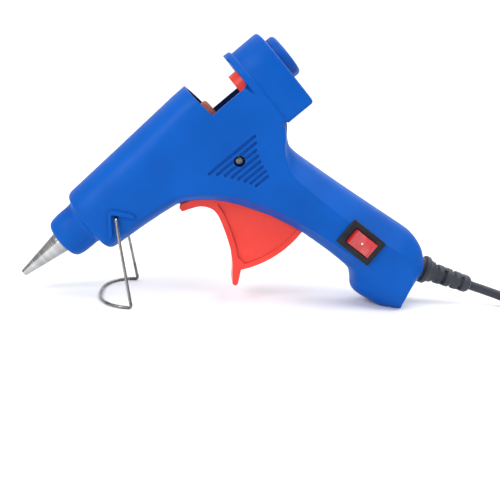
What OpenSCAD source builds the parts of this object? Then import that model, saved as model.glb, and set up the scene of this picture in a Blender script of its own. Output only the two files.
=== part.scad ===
// A small hot-glue gun for 7 mm sticks, standing on its wire stand and the heel of its handle.
// Lengths are in millimetres. Most of the gun is drawn in the barrel's own frame: x runs back from
// the nozzle's tip along the stick's axis, z is up and square to that axis, and y goes to the right.
// place() then tips that frame up to the angle at which the gun stands.
// The flex, its coil and the plug are drawn straight in the standing frame, z = 0 at the table.

/* [Stance] */
// Angle of the barrel above the table, in degrees
barrel_tilt = 42.3; // [40:0.1:44]
// Nozzle tip, measured along the table from the middle of the gun
tip_x = -73.94; // [-90:0.1:-60]
// Nozzle tip, height above the table
tip_z = 6.7; // [5:0.1:12]

/* [Housing] */
// Half the width of the housing across the two shells
body_half = 13; // [12:0.5:16]
// Wall of the shells
wall = 1.8; // [1.2:0.1:2.4]
// Where the barrel's front face stands, back from the nozzle tip
body_front = 32; // [30:0.5:34]
// Depth of the rounding along the barrel's top
barrel_round = 9.5; // [6:0.5:11]
// Width of the bevel along the back of the handle
back_bevel = 6.5; // [4:0.5:8]
// Width of the bevel along the underside and the front of the handle
front_bevel = 4; // [2:0.5:5]
// Play between pieces that slide or turn
play = 0.3; // [0.2:0.05:0.4]
// Play between pieces that only sit in each other
seat_play = 0.1; // [0.05:0.05:0.2]

/* [Glue path] */
// Diameter of the glue stick
stick_d = 7.2; // [6.5:0.1:7.6]
// Radius of the hole in the nozzle's tip
orifice_r = 0.75; // [0.5:0.05:1]
// Radius of the nozzle's tip
tip_r = 1.3; // [1.2:0.1:1.8]
// Radius of the nozzle cone's base
nozzle_base_r = 4; // [3.5:0.1:4.5]
// Length of the nozzle's cone
nozzle_len = 18.2; // [15:0.5:20]
// Radius of the melt chamber
chamber_r = 5.6; // [5.2:0.1:5.8]
// Length of the melt chamber behind the nozzle's collar
chamber_len = 34; // [28:1:40]
// Outer radius of the silicone sleeve
sleeve_r = 6; // [5.6:0.1:6.2]
// Where the sleeve ends, back from the nozzle tip
sleeve_end = 92.4; // [91.5:0.1:94]
// Radius of the collar around the nozzle
collar_r = 8.4; // [7.5:0.1:9]

/* [Stick window] */
// Front of the open window, back from the nozzle tip
window_front = 91; // [90:0.5:93]
// Length of the window
window_len = 16; // [14:0.5:17]
// Height of the window's floor above the stick's axis
window_floor = 1; // [0.5:0.1:2]

/* [Rear block] */
// Radius of the rear block's round top
rear_r = 12.4; // [11:0.1:13]
// Rear face, back from the nozzle tip
rear_end = 121.3; // [118:0.1:124]
// Depth of the rear block below the axis
rear_drop = 18; // [15:0.5:19]
// How far the lip in front of the block stands out
lip_out = 1.1; // [0.6:0.1:1.5]
// Outer radius of the inlet ring
ring_r = 8.4; // [7.5:0.1:9]
// Radius of the inlet ring's neck in the housing's rear wall (mm)
ring_neck = 7; // [6:0.1:7.2]
// How far the inlet ring stands out of the rear face
ring_out = 4.2; // [3:0.1:5]

/* [Trigger] */
// Trigger pivot, back from the nozzle tip
pivot_x = 80.4; // [79:0.1:82]
// Trigger pivot, below the stick's axis
pivot_drop = 16.6; // [16:0.1:17.5]
// Radius of the trigger's pivot pin
pin_r = 1.5; // [1.2:0.1:1.8]
// Radius of the trigger's round lower rim about its pivot
rim_r = 37.6; // [36:0.1:38]
// Half the width of the trigger's blade
blade_half = 5.5; // [4.5:0.1:6]
// Pull of the trigger, in degrees
pull = 25; // [20:1:26]
// Radius of the feeder's two drive studs
stud_r = 1.5; // [1.2:0.1:1.8]
// Depth of the drive studs below the stick's axis
stud_drop = 1.5; // [1:0.1:2]

/* [Stand] */
// Radius of the stand's wire
wire_r = 0.55; // [0.4:0.05:0.8]
// Stand pivot, back from the nozzle tip
stand_x = 42; // [40:0.5:44]
// Stand pivot, below the stick's axis
stand_drop = 4.8; // [4:0.1:6]
// Half the width of the stand at the table
foot_half = 19; // [17:0.5:22]
// How far the foot's loop reaches forward of its corners
foot_reach = 12.5; // [10:0.5:15]

/* [Switch] */
// Length of the switch's bezel
bezel_len = 15; // [14:0.1:16]
// Width of the switch's bezel
bezel_wid = 10.5; // [10:0.1:11]
// How far the bezel stands off the shell
bezel_out = 1.2; // [0.8:0.1:1.6]
// Rock of the switch from one side to the other, in degrees
rock = 16; // [12:1:18]

/* [Flex] */
// Diameter of the mains flex
flex_d = 3.6; // [3.4:0.1:4]
// Radius of the strain relief's flange
relief_r = 5.3; // [5:0.1:5.8]
// Length of the strain relief outside the handle
relief_len = 20; // [18:1:24]
// Slope of the strain relief below level, in degrees
relief_slope = 17; // [12:1:22]

/* [Hidden] */
$fn = 48;
e = 0.02;

blue = [0.06, 0.34, 0.76];
red = [0.93, 0.26, 0.22];
steel = [0.72, 0.73, 0.75];
slate = [0.22, 0.23, 0.28];

stick_r = stick_d / 2;
bore_r = stick_r + play;
inner_half = body_half - wall;

// The housing's outline: pairs of a lower and an upper point, from the barrel's front to the heel.
STATIONS = [
    [[body_front, -13.6], [body_front, 11.6]],
    [[46, -14.6], [46, 12.3]],
    [[57, -15.8], [60, 13]],
    [[62.5, -17], [75, 13.8]],
    [[67.5, -20.2], [90, 14.4]],
    [[72.4, -24.6], [108, 13.6]],
    [[76.5, -29.6], [110.6, -6]],
    [[80, -35], [110.4, -17]],
    [[83.3, -40.6], [107.2, -21.8]],
    [[86.2, -47], [105.3, -27]],
    [[88.8, -54], [107.5, -36.5]],
    [[91, -62], [111.5, -50.5]],
    [[92.8, -70], [115.6, -64]],
    [[93.6, -76.5], [119, -75]],
    [[92, -80.3], [120.4, -80.5]],
    [[90.1, -83], [120.2, -86]],
    [[90.2, -86], [118.8, -90]],
    [[91.6, -89.8], [116, -93.8]],
    [[94.3, -95.7], [111.4, -96.8]],
    [[98.2, -100], [104.2, -99.6]]
];
barrel_stations = 5;
LAYERS = [0, 0.45, 0.7, 0.86, 0.95, 1];

window_back = window_front + window_len;
rear_inner = rear_end - 2;
chamber_back = body_front - 2 + chamber_len;
neck_r = 4.6;
neck_len = 8;

pivot_z = -pivot_drop;
lever = pivot_drop - stud_drop;
lean = pull / 2;
stroke = 2 * lever * tan(lean);
stud_x = pivot_x + lever * tan(lean);
pin_half = body_half - 1;
front_saddle = 36.6;
arm_in = 8.7;
arm_out = 10.5;
rail_in = sleeve_r + 0.4;
rail_out = arm_in - play;
feeder_front = 103.7;
feeder_back = 115;
feed_r = 6.9;
feed_half = 6.2;
rail_low = -4.4;
rail_high = -0.2;
// The rim's hidden end stays inside the handle through the whole pull.
rim_end = -70.5;

switch_at = [103.3, -68];
switch_turn = 78.3;
case_depth = 11;
rocker_len = 9.6;
rocker_wid = 5.9;

exit_at = [115.1, -95.4];
relief_turn = relief_slope + barrel_tilt;
relief_neck = 3;
relief_inner = 4.4;
flange_t = 2.2;
seat_t = 2.4;

SCREWS = [[88.2, -17.3], [35.8, -10.2], [114.5, -12.9], [106.2, -52.5]];
near_screw = 0;
boss_r = 2.9;
screw_r = 1.3;
head_r = 2.1;

VENTS = [
    [-13.9, 77.4, 97.9], [-15.9, 79.3, 96.6], [-17.9, 81.2, 95.1], [-19.9, 82.7, 94.3],
    [-21.9, 84, 93.6], [-23.9, 85.3, 93.1], [-25.8, 86.5, 93], [-27.7, 87.3, 92.4]
];
vent_r = 0.5;

// The flex's uncoiled route in the standing frame, after the strain relief's end.
FLEX = [
    [101, 0, 5.8], [107, -1.2, 4.1], [112.5, -5.5, 2.8], [116.5, -10.3, 2.1], [121.7, -14.4, 2],
    [127, -16.6, 2], [133, -18, 2], [141, -19.9, 2]
];
coil_mid_r = 21;
coil_x = 147;
coil_y = 4;
coil_w = 10.8;
coil_h = 10.8;
// The flex's other end turns back over the coil to the plug, which lies on the turns.
TAIL = [
    [125.7, 16.3, 12.6], [123.9, 10.6, 12.8], [124.5, 4.6, 13.4], [127.5, -0.5, 14.6],
    [132.3, -4.1, 16], [138.2, -5.3, 16.9]
];

// ---------- general helpers ----------

function unit(v) = v / norm(v);
function mix(a, b, t) = a + (b - a) * t;

// A point of the smooth curve through p1 and p2, at t from 0 to 1 between them.
function spline(p0, p1, p2, p3, t) = 0.5 * (2 * p1 + (p2 - p0) * t
    + (2 * p0 - 5 * p1 + 4 * p2 - p3) * t * t + (3 * p1 - p0 - 3 * p2 + p3) * t * t * t);

function smooth(p, steps) = [
    for (i = [0 : len(p) - 2])
        for (k = [0 : steps - 1])
            spline(p[max(i - 1, 0)], p[i], p[i + 1], p[min(i + 2, len(p) - 1)], k / steps),
    p[len(p) - 1]
];

function heading(p, i) = unit(p[min(i + 1, len(p) - 1)] - p[max(i - 1, 0)]);

// A direction square to d that turns with it as little as possible.
function square_to(d, hint) = unit(hint - d * (hint * d));

// A round wire through the points, as one closed polyhedron.
module wire(p, r, sides = 8, hint = [0, 1, 0.01]) {
    n = len(p);
    rings = [
        for (i = [0 : n - 1])
            let (d = heading(p, i), a = square_to(d, hint), b = cross(d, a))
                for (k = [0 : sides - 1])
                    p[i] + r * (cos(360 * k / sides) * a + sin(360 * k / sides) * b)
    ];
    sides_of = [
        for (i = [0 : n - 2])
            for (k = [0 : sides - 1])
                let (j = (k + 1) % sides, a = i * sides, b = a + sides)
                    each [[a + k, b + k, b + j], [a + k, b + j, a + j]]
    ];
    first = [for (k = [0 : sides - 1]) k];
    last = [for (k = [0 : sides - 1]) n * sides - 1 - k];
    polyhedron(points = rings, faces = concat(sides_of, [first, last]));
}

// From the barrel's frame to the standing frame.
module place() {
    translate([tip_x, 0, tip_z])
        rotate([0, -barrel_tilt, 0])
            children();
}

// A cylinder along the stick's axis, between two distances from the tip.
module along(r, x0, x1) {
    translate([x0, 0, 0])
        rotate([0, 90, 0])
            cylinder(r = r, h = x1 - x0);
}

// A cylinder across the gun at a point of its side view.
module across(at, r, y0, y1) {
    translate([at[0], y1, at[1]])
        rotate([90, 0, 0])
            cylinder(r = r, h = y1 - y0);
}

// A flat plate cut from the side view, between two distances across the gun.
module plate(y0, y1) {
    translate([0, y1, 0])
        rotate([90, 0, 0])
            linear_extrude(height = y1 - y0)
                children();
}

module box(x0, x1, y0, y1, z0, z1) {
    translate([x0, y0, z0])
        cube([x1 - x0, y1 - y0, z1 - z0]);
}

// ---------- housing ----------

function round_off(f) = 1 - sqrt(1 - f * f);
function top_bevel(i) = i <= barrel_stations ? barrel_round : back_bevel;

// One loop of the half housing: the lower points forward, then the upper points back.
function loop_at(stations, f, half, inset) = let (
    chains = [
        for (i = [0 : len(stations) - 1])
            let (s = stations[i], d = unit(s[1] - s[0]))
                [
                    s[0] + d * (inset + front_bevel * round_off(f)),
                    s[1] - d * (inset + top_bevel(i) * round_off(f))
                ]
    ]
) [
    for (c = chains) [c[0][0], f * half, c[0][1]],
    for (i = [len(chains) - 1 : -1 : 0]) [chains[i][1][0], f * half, chains[i][1][1]]
];

// The heel is flat where it meets the table: a point below it is lifted straight up to it.
function over_table(p) = tip_z + p[0] * sin(barrel_tilt) + p[2] * cos(barrel_tilt);
function seated(p) = p - min(over_table(p), 0) * [sin(barrel_tilt), 0, cos(barrel_tilt)];

// The solid half housing on the +y side, set in by a wall for the hollow.
module half_body(stations, half, inset = 0, sunk = 0) {
    n = len(stations);
    m = 2 * n;
    loops = [for (f = LAYERS) each [
        for (p = loop_at(stations, f, half, inset)) seated(f == 0 ? [p[0], -sunk, p[2]] : p)
    ]];
    skin = [
        for (j = [0 : len(LAYERS) - 2])
            for (k = [0 : m - 1])
                let (l = (k + 1) % m, a = j * m, b = a + m)
                    each [[a + k, a + l, b + l], [a + k, b + l, b + k]]
    ];
    top = (len(LAYERS) - 1) * m;
    caps = [
        for (i = [0 : n - 2])
            let (a = i, b = i + 1, c = m - 2 - i, d = m - 1 - i)
                each [
                    [a, c, b], [a, d, c],
                    [top + a, top + b, top + c], [top + a, top + c, top + d]
                ]
    ];
    polyhedron(points = loops, faces = concat(skin, caps));
}

// The hollow starts behind the front wall and stops short of the heel.
hollow_stations = [
    for (i = [0 : len(STATIONS) - 3])
        i > 0 ? STATIONS[i] : [STATIONS[0][0] + [2, 0], STATIONS[0][1] + [2, 0]]
];

module rear_block(g) {
    along(rear_r - g, window_back + g, rear_end - g);
    box(window_back + g, rear_end - g, 0, rear_r - g, g - rear_drop, 0);
}

module lip() {
    along(rear_r + lip_out, window_back, window_back + 2.5);
    box(window_back, window_back + 2.5, 0, rear_r + lip_out, -rear_drop, 0);
}

// A rib across the shell that carries something round on the axis.
module saddle(x, r, z0) {
    difference() {
        box(x, x + 1.6, 0, inner_half + 0.5, z0, 6);
        along(r, x - 1, x + 3);
    }
}

// Everything that both shells have, on the +y side.
module shell_solid() {
    difference() {
        union() {
            half_body(STATIONS, body_half);
            rear_block(0);
            lip();
        }
        union() {
            half_body(hollow_stations, inner_half, wall, 1);
            rear_block(wall);
            box(window_front, window_back + wall + e, -1, inner_half, -rear_drop + wall, -2);
        }
    }
    intersection() {
        union() {
            saddle(front_saddle, chamber_r + seat_play, -13);
            saddle(chamber_back - neck_len - 1.6, chamber_r + seat_play, -13);
            // Wall in front of the window, which carries the sleeve's end
            box(window_front - 2.4, window_front - 0.6, 0, inner_half + 0.5, 0.3, 14);
        }
        half_body(STATIONS, body_half - 0.4, 0.4);
    }
    // Pivot bosses for the trigger's pin
    across([pivot_x, pivot_z], pin_r + 1.8, arm_out + play, pin_half);
    // Seat behind the return spring's front end
    box(90.2, 91.8, 0, inner_half + 0.5, -12.6, -stick_r - 3);
}

module window_cut() {
    plate(-20, 20)
        polygon([
            [window_front, window_floor], [window_back - 1.6, window_floor],
            [window_back, window_floor + 1.6], [window_back, 30],
            [window_front - 2.4, 30], [window_front - 1.4, 14]
        ]);
}

// The passage along the axis: chamber neck in front, stick guide at the back.
module axis_cuts() {
    along(4.6, body_front - 1, body_front + 3);
    along(sleeve_r + seat_play, window_front - 3, window_front + 2);
    along(ring_neck + seat_play, rear_inner - 1, rear_end + 1);
    // Way for the heater's two leads under the chamber
    box(chamber_back - neck_len - 3, chamber_back - neck_len + 1, -5, 5, -10.6, -chamber_r);
}

// The opening that the feeder and its two rails slide in.
module feeder_way() {
    x0 = window_back - 3;
    x1 = window_back + 5;
    intersection() {
        along(feed_r + play, x0, x1);
        box(x0, x1, -feed_half - play, feed_half + play, -feed_r - play, feed_r + play);
    }
    box(x0, x1, -rail_out - play, rail_out + play, rail_low - play, rail_high + play);
    box(x0, x1, -2.6 - play, 2.6 + play, -12 - play, 0);
}

// The slot that the trigger swings in, cut through the underside only.
module trigger_slot() {
    half = blade_half + 0.5;
    plate(-half, half)
        polygon([[60, -30], [60, -12], [72, -12], [84, -26], [95.5, -49], [95.5, -56], [75, -56]]);
}

module stand_holes() {
    across([stand_x, -stand_drop], wire_r + play, 10, 20);
}

module relief_cut() {
    translate([exit_at[0], 0, exit_at[1]])
        rotate([0, 90 + relief_turn, 0]) {
            cylinder(r = relief_r + play, h = 12);
            translate([0, 0, -12])
                cylinder(r = relief_neck + seat_play, h = 13);
            translate([0, 0, -seat_t - 9])
                cylinder(r = relief_inner + seat_play, h = 9);
        }
}

// A screw post that rises from the shell's wall to the joint between the shells.
module post(at, r, y0 = 0) {
    across(at, r, y0, inner_half + 0.5);
}

module half_shell() {
    v_rib();
    difference() {
        shell_solid();
        window_cut();
        axis_cuts();
        feeder_way();
        across([pivot_x, pivot_z], pin_r + seat_play / 2, 0, pin_half);
        trigger_slot();
        stand_holes();
        relief_cut();
        // The round pieces above are drawn on both sides, so the other half comes off.
        box(0, 140, -30, 0, -130, 30);
    }
}

// A raised V around the stand's pivot: its two arms stop the wire at both ends of its swing.
module v_rib() {
    plate(body_half - 1, body_half + 0.6)
        difference() {
            polygon([[35.4, -8.6], [40.6, -2.2], [42.6, -1.4], [47.8, -8.2], [46.7, -9.1], [42, -3.2],
                [41.3, -3.3], [36.6, -9.4]]);
            translate([stand_x, -stand_drop])
                circle(r = wire_r + play);
        }
}

module left_shell() {
    color(blue)
        place()
            difference() {
                union() {
                    mirror([0, 1, 0])
                        half_shell();
                    for (i = [0 : len(SCREWS) - 1])
                        across(SCREWS[i], boss_r, -inner_half - 0.5, 0);
                }
                for (i = [0 : len(SCREWS) - 1])
                    screw_bore(i, -1);
                switch_cut();
                for (v = VENTS)
                    vent(v);
            }
}

module right_shell() {
    color(blue)
        place()
            difference() {
                union() {
                    half_shell();
                    for (i = [0 : len(SCREWS) - 1])
                        post(SCREWS[i], boss_r);
                    clamp_posts();
                }
                for (i = [0 : len(SCREWS) - 1])
                    screw_bore(i, 1);
                clamp_bores();
            }
}

// The near screw goes in from the left, and the other three from the right.
module screw_bore(i, side) {
    from_left = i == near_screw;
    head_side = from_left ? -1 : 1;
    if (side == head_side) {
        across(SCREWS[i], screw_r + seat_play, min(0, side * 20), max(0, side * 20));
        across(SCREWS[i], head_r + play, min(side * (body_half - 2.4), side * 20),
            max(side * (body_half - 2.4), side * 20));
    } else {
        across(SCREWS[i], screw_r, min(side * -1, side * 8), max(side * -1, side * 8));
    }
}

module vent(v) {
    for (x = [v[1], v[2]])
        across([x, v[0]], vent_r, -body_half - 1, -body_half + 0.5);
    box(v[1], v[2], -body_half - 1, -body_half + 0.5, v[0] - vent_r, v[0] + vent_r);
}

module switch_place() {
    translate([switch_at[0], -body_half, switch_at[1]])
        rotate([0, switch_turn, 0])
            rotate([90, 0, 0])
                children();
}

module switch_cut() {
    switch_place()
        translate([0, 0, -2.5])
            cube([bezel_len - 1.8, bezel_wid - 1.6, 8], center = true);
}

// ---------- barrel and glue path ----------

module front_collar() {
    flare = 3;
    color(blue)
        place()
            difference() {
                union() {
                    translate([nozzle_len, 0, 0])
                        rotate([0, 90, 0])
                            rotate_extrude()
                                polygon([
                                    [0, 0], [collar_r - 1.6, 0], [collar_r - 0.7, 0.7],
                                    [collar_r - 0.3, 2], [collar_r, 4], [collar_r, 10.5], [0, 10.5]
                                ]);
                    hull() {
                        along(collar_r, body_front - flare - 0.4, body_front - flare);
                        intersection() {
                            half_slice(1);
                            box(body_front - e, body_front + 0.4, -20, 20, -20, 20);
                        }
                        intersection() {
                            half_slice(-1);
                            box(body_front - e, body_front + 0.4, -20, 20, -20, 20);
                        }
                    }
                }
                box(body_front, body_front + 5, -20, 20, -20, 20);
                along(nozzle_base_r + play, nozzle_len - 1, body_front + 1);
                along(collar_r - 1.6, nozzle_len + 3, body_front - flare);
                along(collar_r - 2.6, body_front - flare - 1, body_front + 1);
            }
}

// The front of the housing on one side, for the collar's flare to meet.
module half_slice(side) {
    mirror([0, side < 0 ? 1 : 0, 0])
        half_body([STATIONS[0], STATIONS[1]], body_half);
}

module nozzle() {
    color(steel)
        place()
            rotate([0, 90, 0])
                rotate_extrude()
                    polygon([
                        [orifice_r, 0], [tip_r, 0], [nozzle_base_r - 0.1, nozzle_len - 1.4],
                        [nozzle_base_r, nozzle_len - 1.2], [nozzle_base_r, nozzle_len + 2],
                        [3, nozzle_len + 2], [3, body_front + 4], [1.9, body_front + 4],
                        [1.9, 8], [orifice_r, 4]
                    ]);
}

module melt_chamber() {
    back = chamber_back;
    color([0.8, 0.8, 0.82])
        place()
            difference() {
                union() {
                    translate([body_front - 4, 0, 0])
                        rotate([0, 90, 0])
                            rotate_extrude()
                                polygon([
                                    [3, 0], [4.4, 0], [4.4, 6.4], [chamber_r, 6.4],
                                    [chamber_r, back - body_front + 4 - neck_len],
                                    [neck_r, back - body_front + 4 - neck_len],
                                    [neck_r, back - body_front + 4],
                                    [bore_r, back - body_front + 4], [bore_r, 14], [1.9, 9],
                                    [1.9, 8], [3, 8]
                                ]);
                    box(body_front + 7.4, body_front + 22.2, -4, 4, -chamber_r - 0.6, -bore_r - 0.6);
                }
            }
}

module heater_plate() {
    color([0.85, 0.8, 0.7])
        place()
            box(body_front + 8.4, body_front + 22, -3.4, 3.4, -chamber_r - 3, -chamber_r - 0.8);
}

module heater_film() {
    x0 = body_front + 8;
    x1 = body_front + 22.4;
    z1 = -chamber_r - 0.6;
    color([0.8, 0.55, 0.15])
        place()
            difference() {
                box(x0, x1, -3.8, 3.8, z1 - 2.6, z1);
                box(x0 - 1, x1 + 1, -3.4, 3.4, z1 - 2.4, z1 - 0.2);
            }
}

module heater_clip() {
    bottom = chamber_r + 3.2;
    color(steel)
        place()
            translate([body_front + 19, 0, 0])
                rotate([90, 0, -90])
                    linear_extrude(height = 8)
                        difference() {
                            clip_outline(chamber_r + 0.7, bottom + 0.7);
                            clip_outline(chamber_r + seat_play / 2, bottom);
                        }
}

module clip_outline(r, bottom) {
    circle(r = r);
    translate([-r, -bottom])
        square([2 * r, bottom]);
}

module inlet_sleeve() {
    step = chamber_back + 0.2;
    color([0.82, 0.36, 0.2])
        place()
            translate([chamber_back - neck_len + 0.2, 0, 0])
                rotate([0, 90, 0])
                    rotate_extrude()
                        polygon([
                            [neck_r, 0], [sleeve_r, 0],
                            [sleeve_r, sleeve_end - chamber_back + neck_len - 0.6],
                            [sleeve_r - 0.4, sleeve_end - chamber_back + neck_len - 0.2],
                            [stick_r + 0.4, sleeve_end - chamber_back + neck_len - 0.2],
                            [bore_r, sleeve_end - chamber_back + neck_len - 1],
                            [bore_r, neck_len + 0.4], [neck_r, neck_len + 0.4]
                        ]);
}

module sleeve_clip() {
    color(steel)
        place()
            difference() {
                along(sleeve_r + 0.6, chamber_back - 5.5, chamber_back - 2.5);
                along(sleeve_r, chamber_back - 6, chamber_back - 2);
                box(chamber_back - 6, chamber_back - 2, -1, 1, 0, 8);
            }
}

module inlet_ring() {
    inner = rear_inner - 1.6;
    end = rear_end + ring_out;
    color(blue)
        place()
            translate([inner, 0, 0])
                rotate([0, 90, 0])
                    rotate_extrude()
                        polygon([
                            [bore_r, 0], [ring_r - 0.6, 0], [ring_r - 0.6, 1.6],
                            [ring_neck, 1.6], [ring_neck, rear_end - inner],
                            [ring_r, rear_end - inner], [ring_r, end - inner - 1],
                            [ring_r - 1, end - inner], [bore_r + 1.2, end - inner],
                            [bore_r, end - inner - 1.2]
                        ]);
}

// ---------- trigger and feed ----------

// The trigger's side view about its pivot, at rest: x forward is negative, z down.
function on_rim(a, r = rim_r) = [r * cos(a), r * sin(a)];

module trigger_web() {
    front = [
        [-3.9, -2], [-17.5, -1.2], [-19.7, -1.4], [-20.2, -3.3], [-17.2, -4.3], [-13.6, -6.2],
        [-11, -9.2], [-11.2, -12.5], [-12.5, -16.8], [-13.7, -20.1], [-16, -25.3], [-18.6, -29.3],
        [-22.4, -34], [-23.1, -36.5], [-21.7, -36.2]
    ];
    arc = [for (a = [-119 : 3 : rim_end - 1]) on_rim(a)];
    polygon(concat(front, arc, [on_rim(rim_end), on_rim(rim_end, rim_r - 4), [5.6, -14], [2.9, -2]]));
}

module trigger() {
    studs = [stud_x - pivot_x, lever];
    color(red)
        place()
            translate([pivot_x, 0, pivot_z])
                difference() {
                    union() {
                        plate(-blade_half + 0.6, blade_half - 0.6)
                            trigger_web();
                        // The blade and the rim stand out past the web.
                        plate(-blade_half, blade_half)
                            intersection() {
                                trigger_web();
                                difference() {
                                    circle(r = 60);
                                    polygon(concat(
                                        [[9, -14], [3, -8], [-9.2, -8.6], [-9.4, -12.5], [-10.8, -17],
                                        [-12, -20.5], [-14.2, -25.8], [-16.4, -29.4]],
                                        [for (a = [-117 : 3 : rim_end + 6]) on_rim(a, rim_r - 1.9)]
                                    ));
                                }
                            }
                        across([0, 0], pin_r + 2.2, -arm_out, arm_out);
                        for (s = [-1, 1])
                            trigger_arm(s, studs);
                    }
                    across([0, 0], pin_r + 0.1, -20, 20);
                }
}

// One of the two fork arms that reach up to the feeder's studs.
module trigger_arm(s, at) {
    lo = min(s * arm_in, s * arm_out);
    hi = max(s * arm_in, s * arm_out);
    reach = norm(at);
    grip = stud_r + play;
    rotate([0, lean, 0])
        difference() {
            plate(lo, hi)
                polygon([
                    [-3, 0], [3, 0], [grip + 1.3, lever - 2.5], [grip + 1.3, reach + 2],
                    [-grip - 1.3, reach + 2], [-grip - 1.3, lever - 2.5]
                ]);
            box(-grip, grip, -20, 20, lever - grip, reach + 5);
        }
}

module trigger_pin() {
    color(steel)
        place()
            across([pivot_x, pivot_z], pin_r, -pin_half, pin_half);
}

module feeder() {
    color(red)
        place()
            difference() {
                union() {
                    intersection() {
                        along(feed_r, feeder_front, feeder_back);
                        box(feeder_front, feeder_back, -feed_half, feed_half, -feed_r, feed_r);
                    }
                    // Lug that the return spring pushes on
                    box(feeder_back - 8, feeder_back - 5, -2.6, 2.6, -12, -5);
                    for (s = [-1, 1]) {
                        y0 = min(s * rail_in, s * rail_out);
                        y1 = max(s * rail_in, s * rail_out);
                        box(stud_x - 2.4, feeder_back - 1, y0, y1, rail_low, rail_high);
                        box(feeder_front + 1, feeder_back - 1, min(s * 5.6, s * rail_out),
                            max(s * 5.6, s * rail_out), rail_low, rail_high);
                        across([stud_x, -stud_drop], stud_r, min(s * rail_in, s * arm_out),
                            max(s * rail_in, s * arm_out));
                    }
                }
                along(bore_r + 0.3, feeder_front - 1, feeder_back + 1);
                // Slot for the grip plate
                box(feeder_front + 6, feeder_front + 7, -3, 3, -7.2, -3);
            }
}

module grip_plate() {
    color(steel)
        place()
            difference() {
                box(feeder_front + 6.2, feeder_front + 6.8, -2.8, 2.8, -6.6, -3);
                along(stick_r + 0.1, feeder_front, feeder_back);
            }
}

module return_spring() {
    turns = 6;
    r = 1.9;
    wire_radius = 0.3;
    start = 92.2;
    stop = feeder_back - 8.4;
    points = [
        for (k = [0 : turns * 10])
            [mix(start, stop, k / (turns * 10)), r * cos(36 * k), r * sin(36 * k) - 9.4]
    ];
    color(steel)
        place()
            wire(points, wire_radius, 6, [1, 0.01, 0]);
}

// ---------- stand ----------

module stand_wire() {
    top_in = inner_half + 0.6;
    leg_y = body_half + wire_r + 0.7;
    // The foot's corner in the barrel's frame, one wire radius above the table
    drop = wire_r - tip_z;
    corner_x = 40.8;
    corner = [
        corner_x * cos(barrel_tilt) + drop * sin(barrel_tilt),
        -corner_x * sin(barrel_tilt) + drop * cos(barrel_tilt)
    ];
    forward = [-cos(barrel_tilt), sin(barrel_tilt)];
    half = concat(
        [
            [stand_x, top_in, -stand_drop], [stand_x, body_half, -stand_drop],
            [stand_x - 0.1, leg_y, -stand_drop - 0.4],
            [stand_x - 0.7, leg_y + 0.25, -stand_drop - 1.6]
        ],
        [for (t = [0.2, 0.5, 0.8])
            [mix(stand_x, corner[0], t), mix(leg_y, foot_half, t), mix(-stand_drop, corner[1], t)]],
        [[corner[0] + 0.9, foot_half, corner[1] + 1.2]],
        [for (a = [8, 20, 35, 50, 65, 78])
            [
                corner[0] + forward[0] * foot_reach * sin(a), foot_half * pow(cos(a), 0.8),
                corner[1] + forward[1] * foot_reach * sin(a)
            ]]
    );
    n = len(half);
    other = [for (i = [n - 1 : -1 : 0]) [half[i][0], -half[i][1], half[i][2]]];
    tip = [
        corner[0] + forward[0] * foot_reach, 0, corner[1] + forward[1] * foot_reach
    ];
    color(steel)
        place()
            wire(concat(half, [tip], other), wire_r, 8, [0.67, 0.02, 0.74]);
}

// ---------- switch ----------

module switch_case() {
    color([0.08, 0.08, 0.1])
        place()
            switch_place()
                difference() {
                    union() {
                        translate([-bezel_len / 2, -bezel_wid / 2, 0])
                            cube([bezel_len, bezel_wid, bezel_out]);
                        translate([-bezel_len / 2 + 1, -bezel_wid / 2 + 0.9, -case_depth])
                            cube([bezel_len - 2, bezel_wid - 1.8, case_depth]);
                    }
                    translate([-rocker_len / 2 - 0.3, -rocker_wid / 2 - 0.25, -6])
                        cube([rocker_len + 0.6, rocker_wid + 0.5, 10]);
                    translate([0, 0, bezel_out - 1.6])
                        rotate([90, 0, 0])
                            cylinder(r = 0.75, h = rocker_wid + 1.6, center = true);
                    for (s = [-1, 1])
                        translate([s * 3.6 - 0.5, -2.4, -case_depth - 1])
                            cube([1, 4.8, 3]);
                }
}

module switch_rocker() {
    half = rocker_len / 2;
    color(red)
        place()
            switch_place()
                translate([0, 0, bezel_out - 1.6])
                    rotate([0, rock / 2, 0]) {
                        rotate([90, 0, 0])
                            translate([0, 0, -rocker_wid / 2])
                                linear_extrude(height = rocker_wid)
                                    polygon([
                                        [-half + 0.9, -2.4], [half - 0.9, -2.4], [half - 0.1, 0],
                                        [half - 0.1, 3], [0, 2.3], [-half + 0.1, 3], [-half + 0.1, 0]
                                    ]);
                        rotate([90, 0, 0])
                            cylinder(r = 0.6, h = rocker_wid + 1, center = true);
                    }
}

module switch_terminals() {
    color([0.85, 0.7, 0.35])
        place()
            switch_place()
                for (s = [-1, 1])
                    translate([s * 3.6 - 0.4, -2.3, -case_depth - 5])
                        cube([0.8, 4.6, 6.9]);
}

// ---------- fasteners and wiring ----------

module screw(at, side) {
    head = body_half - 2.4;
    y0 = side < 0 ? -head : -6.5;
    y1 = side < 0 ? 6.5 : head;
    difference() {
        union() {
            across(at, screw_r, y0, y1);
            across(at, head_r, side < 0 ? -head - 1.3 : head, side < 0 ? -head : head + 1.3);
        }
        for (turn = [0, 90])
            translate([at[0], side * (head + 1), at[1]])
                rotate([0, turn + 20, 0])
                    cube([2.6, 1.4, 0.5], center = true);
    }
}

module housing_screws() {
    color(steel)
        place()
            for (i = [0 : len(SCREWS) - 1])
                screw(SCREWS[i], i == near_screw ? -1 : 1);
}

// Inside the handle the flex runs straight on from the strain relief.
function into_handle(s, y = 0, off = 0) = [
    exit_at[0] - s * cos(relief_turn) + off * sin(relief_turn), y,
    exit_at[1] + s * sin(relief_turn) + off * cos(relief_turn)
];
clamp_s = 13.5;
clamp_off = 4.6;
flex_r = flex_d / 2;

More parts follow.
